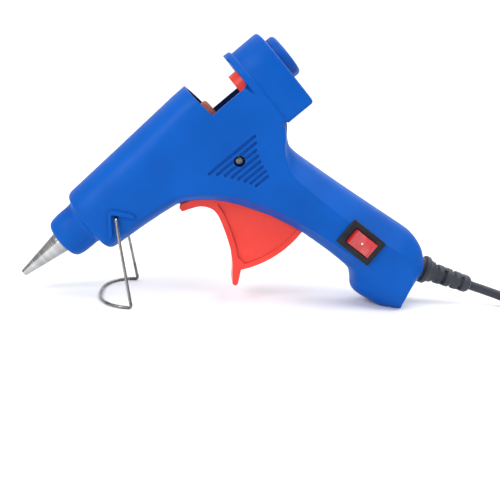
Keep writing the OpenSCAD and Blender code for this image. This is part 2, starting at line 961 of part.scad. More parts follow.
module inner_flex() {
    color(slate)
        place()
            translate([exit_at[0], 0, exit_at[1]])
                rotate([0, relief_turn - 90, 0])
                    translate([0, 0, seat_t + 2])
                        cylinder(r = flex_r, h = 13.6);
}

module clamp_posts() {
    for (s = [-1, 1]) {
        p = into_handle(clamp_s, 0, s * clamp_off);
        post([p[0], p[2]], 2.1, -flex_r);
    }
    q = into_handle(clamp_s, 0, 0);
    post([q[0], q[2]], 2.4, flex_r);
}

module clamp_bores() {
    for (s = [-1, 1]) {
        p = into_handle(clamp_s, 0, s * clamp_off);
        across([p[0], p[2]], 0.9, -flex_r - 1, 5);
    }
}

module cord_clamp() {
    a = into_handle(clamp_s, 0, clamp_off);
    b = into_handle(clamp_s, 0, -clamp_off);
    color([0.9, 0.9, 0.86])
        place()
            difference() {
                union() {
                    for (p = [a, b])
                        across([p[0], p[2]], 2.2, -flex_r - 2, -flex_r);
                    translate([(a[0] + b[0]) / 2, -flex_r - 1, (a[2] + b[2]) / 2])
                        rotate([0, relief_turn - 90, 0])
                            cube([2 * clamp_off, 2, 4.4], center = true);
                }
                for (p = [a, b])
                    across([p[0], p[2]], 1, -10, 0);
            }
}

module clamp_screws() {
    color(steel)
        place()
            for (s = [-1, 1]) {
                p = into_handle(clamp_s, 0, s * clamp_off);
                difference() {
                    union() {
                        across([p[0], p[2]], 0.9, -flex_r - 2, 4.5);
                        across([p[0], p[2]], 1.7, -flex_r - 3, -flex_r - 2);
                    }
                    translate([p[0], -flex_r - 3, p[2]])
                        cube([2.2, 1, 0.4], center = true);
                }
            }
}

lead_r = 0.6;
flex_end = into_handle(seat_t + 2 + 13.6);

module core_leads() {
    to_switch = [
        flex_end + [0, -0.8, 0.1], flex_end + [-0.8, -0.4, 1.5], [105.6, 1.2, -77.6],
        [105.4, 3.4, -75.6], [104.4, 3.6, -73], [104.2, 3.4, -71.9]
    ];
    to_crimp = [
        flex_end + [0, 0.8, 0.1], flex_end + [-1, 1.8, 1.8], [103.2, 6.2, -76],
        [101.8, 7.6, -72], [101, 8, -68.4]
    ];
    color([0.55, 0.36, 0.2])
        place() {
            wire(smooth(to_switch, 2), lead_r);
            wire(smooth(to_crimp, 2), lead_r);
        }
}

module crimp_sleeve() {
    color([0.9, 0.75, 0.7])
        place()
            translate([101, 8, -68.4])
                rotate([0, -12, 0])
                    cylinder(r = 1.3, h = 6);
}

module heater_leads() {
    one = [
        [101 - 6 * sin(12), 8, -68.4 + 6 * cos(12)], [98.6, 8.3, -58], [93.6, 8.4, -46], [87, 8.4, -35],
        [79, 8.4, -25.6], [70, 8.4, -16.5], [62.4, 6.8, -11.4], [57.6, 3.2, -9], [55, 1.8, -7.9]
    ];
    two = [
        [102.4, 3.4, -64.4], [102, 5, -63], [100.4, 6.6, -59.6], [95.6, 6.6, -48.6], [89.6, 6.6, -37.8],
        [81.6, 6.6, -26.6], [71.4, 6.6, -18.4], [63, 5.2, -13], [57.6, 0.6, -9.4],
        [55, -1.4, -7.9]
    ];
    color([0.92, 0.9, 0.84])
        place() {
            wire(smooth(one, 2), lead_r);
            wire(smooth(two, 2), lead_r);
        }
}

// ---------- flex ----------

module strain_relief() {
    body_end = relief_len;
    pitch = 2.6;
    rib = [
        for (k = [0 : 5])
            let (x = flange_t + 2.6 + k * pitch, r = mix(3.7, 3.3, k / 5))
                each [[r, x], [r, x + 1.7], [r - 0.45, x + 1.9], [r - 0.45, x + 2.4]]
    ];
    color(slate)
        place()
            translate([exit_at[0], 0, exit_at[1]])
                rotate([0, 90 + relief_turn, 0])
                    rotate_extrude()
                        polygon(concat(
                            [
                                [0, -seat_t - 2], [relief_inner, -seat_t - 2], [relief_inner, -seat_t],
                                [relief_neck, -seat_t], [relief_neck, 0], [relief_r, 0],
                                [relief_r, flange_t - 0.5], [relief_r - 0.5, flange_t],
                                [4, flange_t + 1]
                            ],
                            rib,
                            [[3.2, body_end - 0.6], [2.7, body_end], [0, body_end]]
                        ));
}

// Where the strain relief ends, in the standing frame, and the way it points.
relief_dir = [cos(relief_slope), 0, -sin(relief_slope)];
exit_world = [
    tip_x + exit_at[0] * cos(barrel_tilt) - exit_at[1] * sin(barrel_tilt), 0,
    tip_z + exit_at[0] * sin(barrel_tilt) + exit_at[1] * cos(barrel_tilt)
];
flex_start = exit_world + relief_dir * relief_len;

module mains_flex() {
    color(slate) {
        wire(smooth(concat([flex_start, flex_start + relief_dir * 3], FLEX), 3), flex_r);
        wire(smooth(TAIL, 4), flex_r);
    }
}

module flex_coil() {
    r = coil_mid_r;
    w = coil_w / 2;
    color(slate)
        translate([coil_x, coil_y, 0])
            rotate_extrude()
                polygon([
                    [r - w + 1.5, 0], [r + w - 1.5, 0], [r + w, 1.5], [r + w, coil_h - 1.5],
                    [r + w - 1.5, coil_h], [r - w + 1.5, coil_h], [r - w, coil_h - 1.5], [r - w, 1.5]
                ]);
}

// A twisted wire tie around the bundle of turns.
module coil_tie() {
    w = coil_w / 2 + 0.1;
    t = 0.8;
    color([0.1, 0.1, 0.1])
        translate([coil_x, coil_y + coil_mid_r, 0])
            rotate([90, 0, 90])
                translate([0, 0, -2])
                    linear_extrude(height = 4)
                        polygon([
                            [-w - t, 0], [-w, 0], [-w, coil_h + 0.1], [w, coil_h + 0.1], [w, 0],
                            [w + t, 0], [w + t, coil_h + 0.1 + t], [-w - t, coil_h + 0.1 + t]
                        ]);
}

plug_at = TAIL[len(TAIL) - 1];

// A flat two-pin plug, narrow at the flex and wide at the pins.
module plug_body() {
    color(slate)
        translate(plug_at)
            hull() {
                rotate([0, 90, 0])
                    cylinder(r = 3, h = 2, $fn = 32);
                translate([12, 0, 0])
                    rotate([0, 90, 0])
                        cylinder(r = 5.5, h = 2, $fn = 32);
                translate([32, 0, 0])
                    cube([2, 26, 12], center = true);
                translate([24, 0, 0])
                    cube([2, 26, 12], center = true);
            }
}

module plug_pins() {
    color(steel)
        for (s = [-1, 1])
            translate(plug_at + [33, s * 9.3, 0])
                rotate([0, 90, 0]) {
                    cylinder(r = 2, h = 17);
                    translate([0, 0, 17])
                        sphere(r = 2);
                }
}

left_shell();
right_shell();
front_collar();
nozzle();
melt_chamber();
heater_plate();
heater_film();
heater_clip();
inlet_sleeve();
sleeve_clip();
inlet_ring();
trigger();
trigger_pin();
feeder();
grip_plate();
return_spring();
stand_wire();
switch_case();
switch_rocker();
switch_terminals();
housing_screws();
inner_flex();
cord_clamp();
clamp_screws();
core_leads();
heater_leads();
crimp_sleeve();
strain_relief();
mains_flex();
flex_coil();
coil_tie();
plug_body();
plug_pins();
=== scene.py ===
from math import atan2, cos, pi, radians, sin

import bmesh
import bpy
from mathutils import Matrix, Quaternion, Vector


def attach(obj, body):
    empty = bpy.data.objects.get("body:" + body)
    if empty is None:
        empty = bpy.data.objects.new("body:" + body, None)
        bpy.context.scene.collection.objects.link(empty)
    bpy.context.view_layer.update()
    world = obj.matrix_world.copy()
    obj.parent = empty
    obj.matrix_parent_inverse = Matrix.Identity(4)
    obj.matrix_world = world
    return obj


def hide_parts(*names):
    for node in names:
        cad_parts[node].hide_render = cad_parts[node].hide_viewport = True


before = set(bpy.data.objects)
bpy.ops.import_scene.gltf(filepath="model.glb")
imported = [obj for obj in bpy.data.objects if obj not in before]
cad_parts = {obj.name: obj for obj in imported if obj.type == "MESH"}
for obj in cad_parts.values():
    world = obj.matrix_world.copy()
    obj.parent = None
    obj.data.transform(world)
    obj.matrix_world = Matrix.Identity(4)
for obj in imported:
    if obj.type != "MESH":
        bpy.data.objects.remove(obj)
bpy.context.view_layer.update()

# ---------- Camera ----------
# The gun stands on its heel and its wire foot, seen from its left side,
# a little from above, with the nozzle to the left.

camera_place = (-0.0158, -0.3, 0.0916)
camera_heading = (0.0809, 0.9702, -0.2285)
camera_roll = radians(3.16)

lens = bpy.data.cameras.new("camera")
lens.lens = 59.5
lens.sensor_width = 36
camera = bpy.data.objects.new("camera", lens)
camera.location = camera_place
camera.rotation_mode = "QUATERNION"
camera.rotation_quaternion = Vector(camera_heading).to_track_quat("-Z", "Y") @ Quaternion(
    (0, 0, 1), camera_roll
)
bpy.context.collection.objects.link(camera)
bpy.context.scene.camera = camera

# ---------- Strain relief ----------
# A soft PVC sleeve moulded onto the flex, with ribs that bridge in turn so that it
# bends. Its collar is trapped in the heel between the two halves of the housing.

MM = 0.001
NOZZLE_TIP = Vector((-73.94, 0, 6.7))
BARREL_TILT = radians(42.3)
CABLE_EXIT = (115.1, -95.4)
RELIEF_SLOPE = radians(17)
# Between these two values of a noise, a finish goes from its dark to its light shade
NOISE_LOW, NOISE_HIGH = 0.35, 0.65


def gun(u, v, y=0.0):
    """A point of the gun's side view, u back from the nozzle's tip along the stick, v up."""
    c, s = cos(BARREL_TILT), sin(BARREL_TILT)
    return NOZZLE_TIP + Vector((u * c - v * s, y, u * s + v * c))


def mesh_piece(name, points, faces, crease=32):
    """A piece from points in millimetres, smooth but for edges sharper than crease degrees."""
    mesh = bpy.data.meshes.new(name)
    mesh.from_pydata([Vector(p) * MM for p in points], [], faces)
    shaped = bmesh.new()
    shaped.from_mesh(mesh)
    bmesh.ops.remove_doubles(shaped, verts=shaped.verts, dist=1e-6)
    bmesh.ops.recalc_face_normals(shaped, faces=shaped.faces)
    shaped.to_mesh(mesh)
    shaped.free()
    piece = bpy.data.objects.new(name, mesh)
    bpy.context.collection.objects.link(piece)
    soften(piece, crease)
    return piece


def soften(piece, crease=32):
    mesh = piece.data
    mesh.shade_smooth()
    mesh.set_sharp_from_angle(angle=radians(crease))


def turned(name, profile, start, heading, sides=64, closed=False, shape=None, crease=32):
    """A round piece from (distance along the axis, radius) pairs. shape(s, r, angle) may
    change the radius round the piece."""
    axis = Vector(heading).normalized()
    across = axis.orthogonal().normalized()
    if abs(axis.y) < 0.9:
        across = Vector((0, 1, 0))
        across = (across - axis * across.dot(axis)).normalized()
    other = axis.cross(across)
    points, faces, rows = [], [], []
    for s, r in profile:
        row = []
        for k in range(1 if r == 0 else sides):
            angle = 2 * pi * k / sides
            wide = shape(s, r, angle) if shape else r
            row.append(len(points))
            points.append(
                Vector(start) + axis * s
                + across * (wide * cos(angle)) + other * (wide * sin(angle))
            )
        rows.append(row)
    pairs = list(zip(rows, rows[1:])) + ([(rows[-1], rows[0])] if closed else [])
    for a, b in pairs:
        for k in range(sides):
            face = [a[k % len(a)], a[(k + 1) % len(a)], b[(k + 1) % len(b)], b[k % len(b)]]
            face = list(dict.fromkeys(face))
            if len(face) > 2:
                faces.append(face)
    if not closed:
        for row in (rows[0], rows[-1]):
            if len(row) > 1:
                faces.append(row)
    return mesh_piece(name, points, faces, crease)


def links(material):
    return material.node_tree.nodes, material.node_tree.links.new


def finish(name, roughness, metallic=0.0, coat=0.0):
    material = bpy.data.materials.new(name)
    material.use_nodes = True
    skin = material.node_tree.nodes["Principled BSDF"]
    skin.inputs["Metallic"].default_value = metallic
    skin.inputs["Roughness"].default_value = roughness
    skin.inputs["Coat Weight"].default_value = coat
    return material, skin


def noise(material, scale, detail=2.0, stretch=None, turn=(0, 0, 0)):
    """Noise fixed in the object, scale in features per metre, stretched along its axes."""
    nodes, link = links(material)
    place = nodes.new("ShaderNodeTexCoord")
    texture = nodes.new("ShaderNodeTexNoise")
    texture.inputs["Scale"].default_value = scale
    texture.inputs["Detail"].default_value = detail
    if stretch:
        turned_to = nodes.new("ShaderNodeMapping")
        turned_to.vector_type = "TEXTURE"
        turned_to.inputs["Rotation"].default_value = turn
        turned_to.inputs["Scale"].default_value = [1 / s for s in stretch]
        link(place.outputs["Object"], turned_to.inputs["Vector"])
        link(turned_to.outputs["Vector"], texture.inputs["Vector"])
    else:
        link(place.outputs["Object"], texture.inputs["Vector"])
    return texture.outputs["Fac"]


def shades(material, skin, fac, dark, light):
    """The base colour drifts between two shades of the finish."""
    nodes, link = links(material)
    ramp = nodes.new("ShaderNodeValToRGB")
    ramp.color_ramp.elements[0].position = NOISE_LOW
    ramp.color_ramp.elements[0].color = (*dark, 1)
    ramp.color_ramp.elements[1].position = NOISE_HIGH
    ramp.color_ramp.elements[1].color = (*light, 1)
    link(fac, ramp.inputs["Fac"])
    link(ramp.outputs["Color"], skin.inputs["Base Color"])


def gloss(material, skin, fac, low, high):
    """Roughness runs from low to high with the noise."""
    nodes, link = links(material)
    spread = nodes.new("ShaderNodeMapRange")
    spread.inputs["From Min"].default_value = 0.3
    spread.inputs["From Max"].default_value = 0.7
    spread.inputs["To Min"].default_value = low
    spread.inputs["To Max"].default_value = high
    link(fac, spread.inputs["Value"])
    link(spread.outputs["Result"], skin.inputs["Roughness"])


def relief(material, skin, fac, depth, strength, edge=0.0):
    """Bump of depth metres; edge rounds the piece's sharp edges to that radius."""
    nodes, link = links(material)
    bump = nodes.new("ShaderNodeBump")
    bump.inputs["Distance"].default_value = depth
    bump.inputs["Strength"].default_value = strength
    link(fac, bump.inputs["Height"])
    if edge:
        rounded = nodes.new("ShaderNodeBevel")
        rounded.samples = 6
        rounded.inputs["Radius"].default_value = edge
        link(rounded.outputs["Normal"], bump.inputs["Normal"])
    link(bump.outputs["Normal"], skin.inputs["Normal"])


def soft_pvc(name, dark, light):
    material, skin = finish(name, 0.55)
    skin.inputs["Specular IOR Level"].default_value = 0.3
    shades(material, skin, noise(material, 90, 3), dark, light)
    gloss(material, skin, noise(material, 400, 2), 0.42, 0.6)
    relief(material, skin, noise(material, 2600, 2), 0.00006, 0.6)
    skin.inputs["Sheen Weight"].default_value = 0.15
    skin.inputs["Sheen Roughness"].default_value = 0.5
    return material


def settle(piece, material, body, slot, *nodes):
    """Gives a finished piece its material and its body, and hides the CAD nodes that it stands for.
    """
    piece.data.materials.clear()
    piece.data.materials.append(material)
    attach(piece, body)
    if nodes:
        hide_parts(*nodes)


slate_pvc = soft_pvc("slate_pvc", (0.016, 0.018, 0.029), (0.026, 0.03, 0.044))

relief_axis = Vector((cos(RELIEF_SLOPE), 0, -sin(RELIEF_SLOPE)))
relief_root = gun(*CABLE_EXIT)
RELIEF_LENGTH = 20
RIB_STARTS = (6.0, 9.6, 13.2, 16.8)
RIB_WIDTH, WAIST_R = 2.3, 2.45


def relief_radius(s, r, angle):
    """Between the ribs the sleeve is waisted but for two bridges, turned at each gap."""
    gaps = [i for i, rib in enumerate(RIB_STARTS) if rib - 1.35 < s < rib - 0.05]
    if not gaps:
        return r
    bridge = abs(cos(angle + gaps[0] * pi / 2)) > 0.8
    return r if bridge else WAIST_R


relief_profile = [(-5, 0), (-5, 2.4), (-3.2, 2.4), (-3.1, 4.3), (0, 4.3), (0.05, 5.0)]
relief_profile += [(0.4, 5.3), (1.7, 5.3), (2.2, 4.9), (2.7, 4.35), (4.5, 3.95)]
for rib in RIB_STARTS:
    r = 3.95 - 0.035 * rib
    relief_profile += [(rib - 1.3, r - 0.1), (rib - 0.1, r - 0.1)]
    relief_profile += [(rib, r - 0.15), (rib + 0.25, r)]
    relief_profile += [(rib + RIB_WIDTH - 0.3, r - 0.03), (rib + RIB_WIDTH - 0.02, r - 0.2)]
relief_profile += [(19.5, 3.0), (RELIEF_LENGTH, 2.4), (RELIEF_LENGTH, 0)]
strain_relief = turned(
    "relief_sleeve", relief_profile, relief_root, relief_axis, 80, shape=relief_radius, crease=40
)
settle(strain_relief, slate_pvc, "housing", "flex_black", "strain_relief")

# ---------- Mains flex ----------
# Two-core round PVC flex, 3.6 mm thick, that leaves the heel, lies on the table and
# is put away in a neat coil behind the gun, with the plug on it.

FLEX_R = 1.8
COIL_AT = Vector((147, 4, 0))
# Radius and height of each turn in the coil's section, from the first to the last
TURN_CELLS = (
    (24.6, 1.85), (21, 1.85), (17.4, 1.85), (17.4, 5.42), (17.4, 9),
    (21, 9), (21, 5.42), (24.6, 5.42), (24.6, 9),
)
COIL_FROM, COIL_TO = -104, 8 * 360 + 150
# Share of a turn that a crossing takes, and the degrees in which the last turn rises
CROSSING = 0.27
LAST_RISE = 55
PLUG_AT = Vector((138.2, -5.3, 16.9))


def smoothed(points, steps):
    """Points of the smooth curve through the given ones."""
    points = [Vector(p) for p in points]
    out = []
    for i in range(len(points) - 1):
        p0, p1 = points[max(i - 1, 0)], points[i]
        p2, p3 = points[i + 1], points[min(i + 2, len(points) - 1)]
        for k in range(steps):
            t = k / steps
            out.append(0.5 * (
                2 * p1 + (p2 - p0) * t + (2 * p0 - 5 * p1 + 4 * p2 - p3) * t * t
                + (3 * p1 - p0 - 3 * p2 + p3) * t * t * t
            ))
    return out + [points[-1]]


def wound(angle):
    """Where the flex is at that angle of winding: it crosses to the next cell once a turn."""
    share = (angle - COIL_FROM) / (COIL_TO - COIL_FROM) * len(TURN_CELLS)
    cell = min(int(share), len(TURN_CELLS) - 1)
    r, z = TURN_CELLS[cell]
    t = (share - cell - 1 + CROSSING) / CROSSING
    if t > 0 and cell + 1 < len(TURN_CELLS):
        t = (1 - cos(pi * min(t, 1))) / 2
        r += (TURN_CELLS[cell + 1][0] - r) * t
        z += (TURN_CELLS[cell + 1][1] - z) * t
    t = (angle - COIL_TO + LAST_RISE) / LAST_RISE
    z += 2 * FLEX_R * (1 - cos(pi * max(t, 0))) / 2
    a = radians(angle)
    return COIL_AT + Vector((r * cos(a), r * sin(a), z))


def wire_piece(name, points, radius):
    """A round wire or flex: one smooth line with that radius."""
    line = bpy.data.curves.new(name, "CURVE")
    line.dimensions = "3D"
    line.bevel_depth = radius * MM
    line.bevel_resolution = 5
    line.use_fill_caps = True
    spline = line.splines.new("POLY")
    spline.points.add(len(points) - 1)
    for place, point in zip(spline.points, points):
        place.co = (*(Vector(point) * MM), 1)
    spline.use_smooth = True
    piece = bpy.data.objects.new(name, line)
    bpy.context.collection.objects.link(piece)
    return piece


flex_start = relief_root + relief_axis * RELIEF_LENGTH
flex_route = [
    flex_start, flex_start + relief_axis * 3, (101, 0, 5.8), (107, -1.2, 4.1),
    (112.5, -5.5, 2.8), (116.5, -10.3, 2.1), (121.7, -14.4, 2), (127, -16.6, 2),
    (133, -18, 2), wound(COIL_FROM),
]
flex_tail = [
    wound(COIL_TO), (123.9, 10.6, 12.8), (124.5, 4.6, 13.4), (127.5, -0.5, 14.6),
    (132.3, -4.1, 16), PLUG_AT,
]
flex_line = smoothed(flex_route, 4)[:-1]
turn_points = (COIL_TO - COIL_FROM) // 8
flex_line += [
    wound(COIL_FROM + (COIL_TO - COIL_FROM) * k / turn_points) for k in range(turn_points + 1)
]
flex_line += smoothed(flex_tail, 4)[1:]
flex = wire_piece("mains_lead", flex_line, FLEX_R)
settle(flex, slate_pvc, "housing", "flex_black", "mains_flex", "flex_coil")

# ---------- Coil tie ----------
# A strip of plastic-covered wire bent round all the turns of the coil. Its two ends are
# twisted together on top.

TIE_HALF = 5.5
TIE_TOP = 10.95
TIE_BEND = 1.4
TWIST_R, TWIST_TURN = 0.42, 1.1
tie_place = COIL_AT + Vector((0, 21, 0))


def band(name, ring, half_width, thickness):
    """A flat strip that follows the ring, a loop in the YZ plane."""
    points, faces = [], []
    n = len(ring)
    for i, p in enumerate(ring):
        before, after = Vector(ring[i - 1]), Vector(ring[(i + 1) % n])
        along = (after - before).normalized()
        out = Vector((0, along.z, -along.y))
        for side, lift in ((-1, 0), (-0.8, 1), (0, 0.75), (0.8, 1), (1, 0), (0, -0.1)):
            points.append(
                Vector(p) + Vector((side * half_width, 0, 0)) + out * (lift * thickness)
            )
    for i in range(n):
        j = (i + 1) % n
        for k in range(6):
            m = (k + 1) % 6
            faces.append((i * 6 + k, i * 6 + m, j * 6 + m, j * 6 + k))
    return mesh_piece(name, points, faces)


tie_corners = [
    (TIE_BEND * sin(radians(a)), TIE_TOP - TIE_BEND + TIE_BEND * cos(radians(a)))
    for a in range(0, 91, 15)
]
tie_ring = [(0, TIE_HALF, 0.35)]
tie_ring += [(0, TIE_HALF - TIE_BEND + y, z) for y, z in reversed(tie_corners)]
tie_ring += [(0, -TIE_HALF + TIE_BEND - y, z) for y, z in tie_corners]
tie_ring += [(0, -TIE_HALF, 0.35), (0, -TIE_HALF + 1, 0.15), (0, TIE_HALF - 1, 0.15)]
tie_band = band("tie_band", [tie_place + Vector(p) for p in reversed(tie_ring)], 1.6, 0.45)
tie_ends = []
for turn in (0, pi):
    twist = [
        tie_place + Vector((
            TWIST_R * cos(TWIST_TURN * k + turn), -2 + 0.45 * k,
            TIE_TOP + TWIST_R + 0.3 * sin(TWIST_TURN * k + turn),
        ))
        for k in range(12)
    ]
    end = wire_piece(f"tie_end_{len(tie_ends) + 1}", smoothed(twist, 2), 0.24)
    tie_ends.append(end)
tie_plastic = soft_pvc("tie_plastic", (0.012, 0.012, 0.014), (0.025, 0.025, 0.028))
for part in [tie_band, *tie_ends]:
    settle(part, tie_plastic, "housing", "flex_black")
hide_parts("coil_tie")

# ---------- Plug ----------
# A two-pin plug moulded onto the flex in the same PVC, flat and widening to its face,
# with grip ribs at the sides. The pins are turned brass, plated, with sleeved roots.

def rounded_ring(x, half_w, half_h, corner):
    """One rounded rectangle across the plug, at x from where the flex enters it."""
    ring, steps = [], 6
    for quarter in range(4):
        sy = 1 if quarter in (0, 3) else -1
        sz = 1 if quarter in (0, 1) else -1
        for k in range(steps):
            a = pi / 2 * (quarter + k / (steps - 1))
            ring.append(PLUG_AT + Vector((
                x, sy * (half_w - corner) + corner * cos(a),
                sz * (half_h - corner) + corner * sin(a),
            )))
    return ring


def skinned(name, rings, crease=32, capped=True):
    """A closed piece through rings of equal length."""
    n = len(rings[0])
    points = [p for ring in rings for p in ring]
    faces = []
    for i in range(len(rings) - 1):
        for k in range(n):
            j = (k + 1) % n
            faces.append((i * n + k, i * n + j, (i + 1) * n + j, (i + 1) * n + k))
    if capped:
        for row, ring in ((0, rings[0]), (len(rings) - 1, rings[-1])):
            centre = len(points)
            points.append(sum((Vector(p) for p in ring), Vector()) / n)
            for k in range(n):
                faces.append((row * n + k, row * n + (k + 1) % n, centre))
    return mesh_piece(name, points, faces, crease)


plug_rings = [rounded_ring(0.2, 2.2, 2.2, 2.1), rounded_ring(0.6, 2.9, 2.9, 2.8)]
for k in range(5):
    x = 1.6 + 2.2 * k
    plug_rings += [rounded_ring(x, 3 + 0.5 * k, 3 + 0.45 * k, 2.6),
                   rounded_ring(x + 1.1, 3.3 + 0.5 * k, 3.3 + 0.45 * k, 2.9),
                   rounded_ring(x + 1.5, 2.7 + 0.5 * k, 2.7 + 0.45 * k, 2.4)]
for k in range(6):
    x = 14 + 2.4 * k
    wide = 6.3 + 1.15 * k
    plug_rings += [rounded_ring(x, wide, 5.2 + 0.13 * k, 3.2),
                   rounded_ring(x + 1.3, wide + 0.65, 5.3 + 0.13 * k, 3.2),
                   rounded_ring(x + 1.7, wide + 0.2, 5.3 + 0.13 * k, 3.2)]
plug_rings += [rounded_ring(29, 12.6, 5.9, 3.4), rounded_ring(31.5, 12.95, 6, 3.4),
               rounded_ring(32.6, 12.9, 5.95, 3.4), rounded_ring(33, 12.4, 5.5, 3)]
plug_shell = skinned("plug_shell", plug_rings, 40)
settle(plug_shell, slate_pvc, "housing", "flex_black", "plug_body")

pin_metal, pin_skin = finish("plated_pin", 0.25, metallic=1)
shades(pin_metal, pin_skin, noise(pin_metal, 60), (0.36, 0.34, 0.3), (0.5, 0.48, 0.44))
gloss(pin_metal, pin_skin, noise(pin_metal, 900, 2, (4, 1, 1)), 0.18, 0.32)
relief(pin_metal, pin_skin, noise(pin_metal, 2200, 2, (3, 0.2, 0.2)), 0.00002, 0.5)
for side in (-1, 1):
    root = PLUG_AT + Vector((33, side * 9.3, 0))
    pin = turned(
        f"pin_{'left' if side < 0 else 'right'}",
        [(-0.5, 0), (-0.5, 2), (0, 2), (0.2, 1.95), (8, 1.95), (8.1, 1.75), (15.2, 1.75),
         (16.2, 1.55), (16.8, 1), (17, 0.4), (17, 0)],
        root, (1, 0, 0), 32,
    )
    settle(pin, pin_metal, "housing", "brass")
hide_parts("plug_pins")

# ---------- Housing ----------
# Two half shells of blue ABS, 1.8 mm thick, screwed together along the middle plane.
# The mould leaves them satin with a fine even grain. Between the barrel's round top
# and the handle, the back has a broad bevel with a crisp crease.

BODY_HALF = 13.0
WALL = 1.8
# Lower and upper point of the side view, from the barrel's front to the heel
BARREL_STATIONS = [
    ((32, -13.6), (32, 11.6)), ((46, -14.6), (46, 12.3)), ((57, -15.8), (60, 13)),
    ((62.5, -17), (75, 13.8)), ((67.5, -20.2), (90, 14.4)), ((72.4, -24.6), (108, 13.6)),
]
HANDLE_STATIONS = [
    ((76.5, -29.6), (110.6, -6)), ((80, -35), (110.4, -17)), ((83.3, -40.6), (107.2, -21.8)),
    ((86.2, -47), (105.3, -27)), ((88.8, -54), (107.5, -36.5)), ((91, -62), (111.5, -50.5)),
    ((92.8, -70), (115.6, -64)), ((93.6, -76.5), (119, -75)), ((92, -80.3), (120.4, -80.5)),
    ((90.1, -83), (120.2, -86)), ((90.2, -86), (118.8, -90)), ((91.6, -89.8), (116, -93.8)),
    ((93.7, -95.3), (110.2, -95.7)), ((96.9, -98.9), (102.2, -98.1)),
]
STATION_STEPS, FLAT_STEPS = 5, 6
# Width of the bevel at each of those stations, along the lower and the upper edge
LOWER_BEVELS = [4.2] * 12 + [4.6, 6, 8.5, 10, 10, 9, 7, 3]
UPPER_BEVELS = [9.5] * 6 + [1.5, 3.4, 7, 8.6, 9, 9.2, 9.2, 9, 8.6, 8, 7.4, 7, 6, 3]
# Across the handle's bevels: share of the bevel's depth, share of the half width
CHAMFER = (
    (1, 1), (0.87, 0.93), (0.74, 0.86), (0.61, 0.79), (0.48, 0.72), (0.35, 0.65),
    (0.22, 0.57), (0.11, 0.45), (0.04, 0.3), (0.01, 0.15), (0, 0),
)
# Angle at which the barrel's round edges meet its flat side
LOWER_CREASE, UPPER_CREASE = radians(12), radians(4)
HALF_WIDTHS = [BODY_HALF] * 17 + [BODY_HALF - 0.1, BODY_HALF - 0.6, BODY_HALF - 2.6]


def flat(p):
    return Vector((p[0], p[1], 0))


def fine_stations():
    """Dense pairs of points along the housing, each with its share of handle from 0 to 1,
    its lower and upper bevels and its half width."""
    lower = smoothed([flat(s[0]) for s in BARREL_STATIONS + HANDLE_STATIONS], STATION_STEPS)
    upper = smoothed([flat(s[1]) for s in BARREL_STATIONS], STATION_STEPS)
    upper += smoothed([flat(s[1]) for s in HANDLE_STATIONS], STATION_STEPS)
    joint = STATION_STEPS * (len(BARREL_STATIONS) - 1)
    a, b = upper[joint], upper[joint + 1]
    between = [a.lerp(b, k / STATION_STEPS) for k in range(1, STATION_STEPS)]
    upper = upper[:joint + 1] + between + upper[joint + 1:]
    first = joint + STATION_STEPS
    made = []
    for i, (low, high) in enumerate(zip(lower, upper)):
        handle = min(max((i - joint + 4) / (first - joint + 8), 0), 1)
        at = min(i // STATION_STEPS, len(LOWER_BEVELS) - 2)
        t = i / STATION_STEPS - at
        widths = [
            w[at] + (w[at + 1] - w[at]) * t for w in (LOWER_BEVELS, UPPER_BEVELS, HALF_WIDTHS)
        ]
        made.append((low, high, handle * handle * (3 - 2 * handle), *widths))
    return made


def section(low, high, handle, lower_bevel, upper_bevel, half, inset):
    """One closed ring across the housing, from its lower edge up the right side and
    down the left. The creases sit where the flat side turns into the bevels."""
    run = (high - low).normalized()
    low, high = low + run * inset, high - run * inset
    room = (high - low).length
    lower_bevel = min(lower_bevel, room * 0.45)
    upper_bevel = min(upper_bevel, room * 0.45)
    half -= inset
    rows = []
    for bevel, crease, at in ((lower_bevel, LOWER_CREASE, 0), (upper_bevel, UPPER_CREASE, 1)):
        for k, (chamfer_depth, chamfer_y) in enumerate(CHAMFER):
            a = crease + (pi / 2 - crease) * k / (len(CHAMFER) - 1)
            y = cos(a) / cos(crease)
            depth = 1 - (sin(a) - sin(crease)) / (1 - sin(crease))
            y += (chamfer_y - y) * handle
            depth += (chamfer_depth - depth) * handle
            rows.append((at, bevel * depth, half * y))
    lower_rows = sorted((r for r in rows if r[0] == 0), key=lambda r: r[2])
    upper_rows = sorted((r for r in rows if r[0] == 1), key=lambda r: -r[2])
    side = []
    for _, depth, y in lower_rows:
        side.append((low + run * depth, y))
    top_of_low, foot_of_high = side[-1][0], high - run * upper_rows[0][1]
    for k in range(1, FLAT_STEPS):
        side.append((top_of_low.lerp(foot_of_high, k / FLAT_STEPS), half))
    for _, depth, y in upper_rows:
        side.append((high - run * depth, y))
    ring = [gun(p.x, p.y, y) for p, y in side]
    ring += [gun(p.x, p.y, -y) for p, y in reversed(side[1:-1])]
    return ring if inset == WALL else [Vector((p.x, p.y, max(p.z, 0))) for p in ring]


def cut(piece, tool, how="DIFFERENCE"):
    """Cuts or joins the tool into the piece, and puts the tool away."""
    work = piece.modifiers.new("work", "BOOLEAN")
    work.operation = how
    work.object = tool
    work.solver = "MANIFOLD"
    result = bpy.data.meshes.new_from_object(
        piece.evaluated_get(bpy.context.evaluated_depsgraph_get())
    )
    piece.modifiers.clear()
    old = piece.data
    piece.data = result
    bpy.data.meshes.remove(old)
    bpy.data.objects.remove(tool)


def slab(name, outline, y0, y1):
    """A plate with that side view between two distances across the gun."""
    n = len(outline)
    points = [gun(u, v, y0) for u, v in outline] + [gun(u, v, y1) for u, v in outline]
    faces = [list(range(n)), list(range(n, 2 * n))]
    faces += [(k, (k + 1) % n, n + (k + 1) % n, n + k) for k in range(n)]
    return mesh_piece(name, points, faces)


def peg(name, at, radius, y0, y1):
    """A round tool across the gun."""
    return turned(name, [(0, radius), (y1 - y0, radius)], gun(*at, y0), (0, 1, 0), 40)


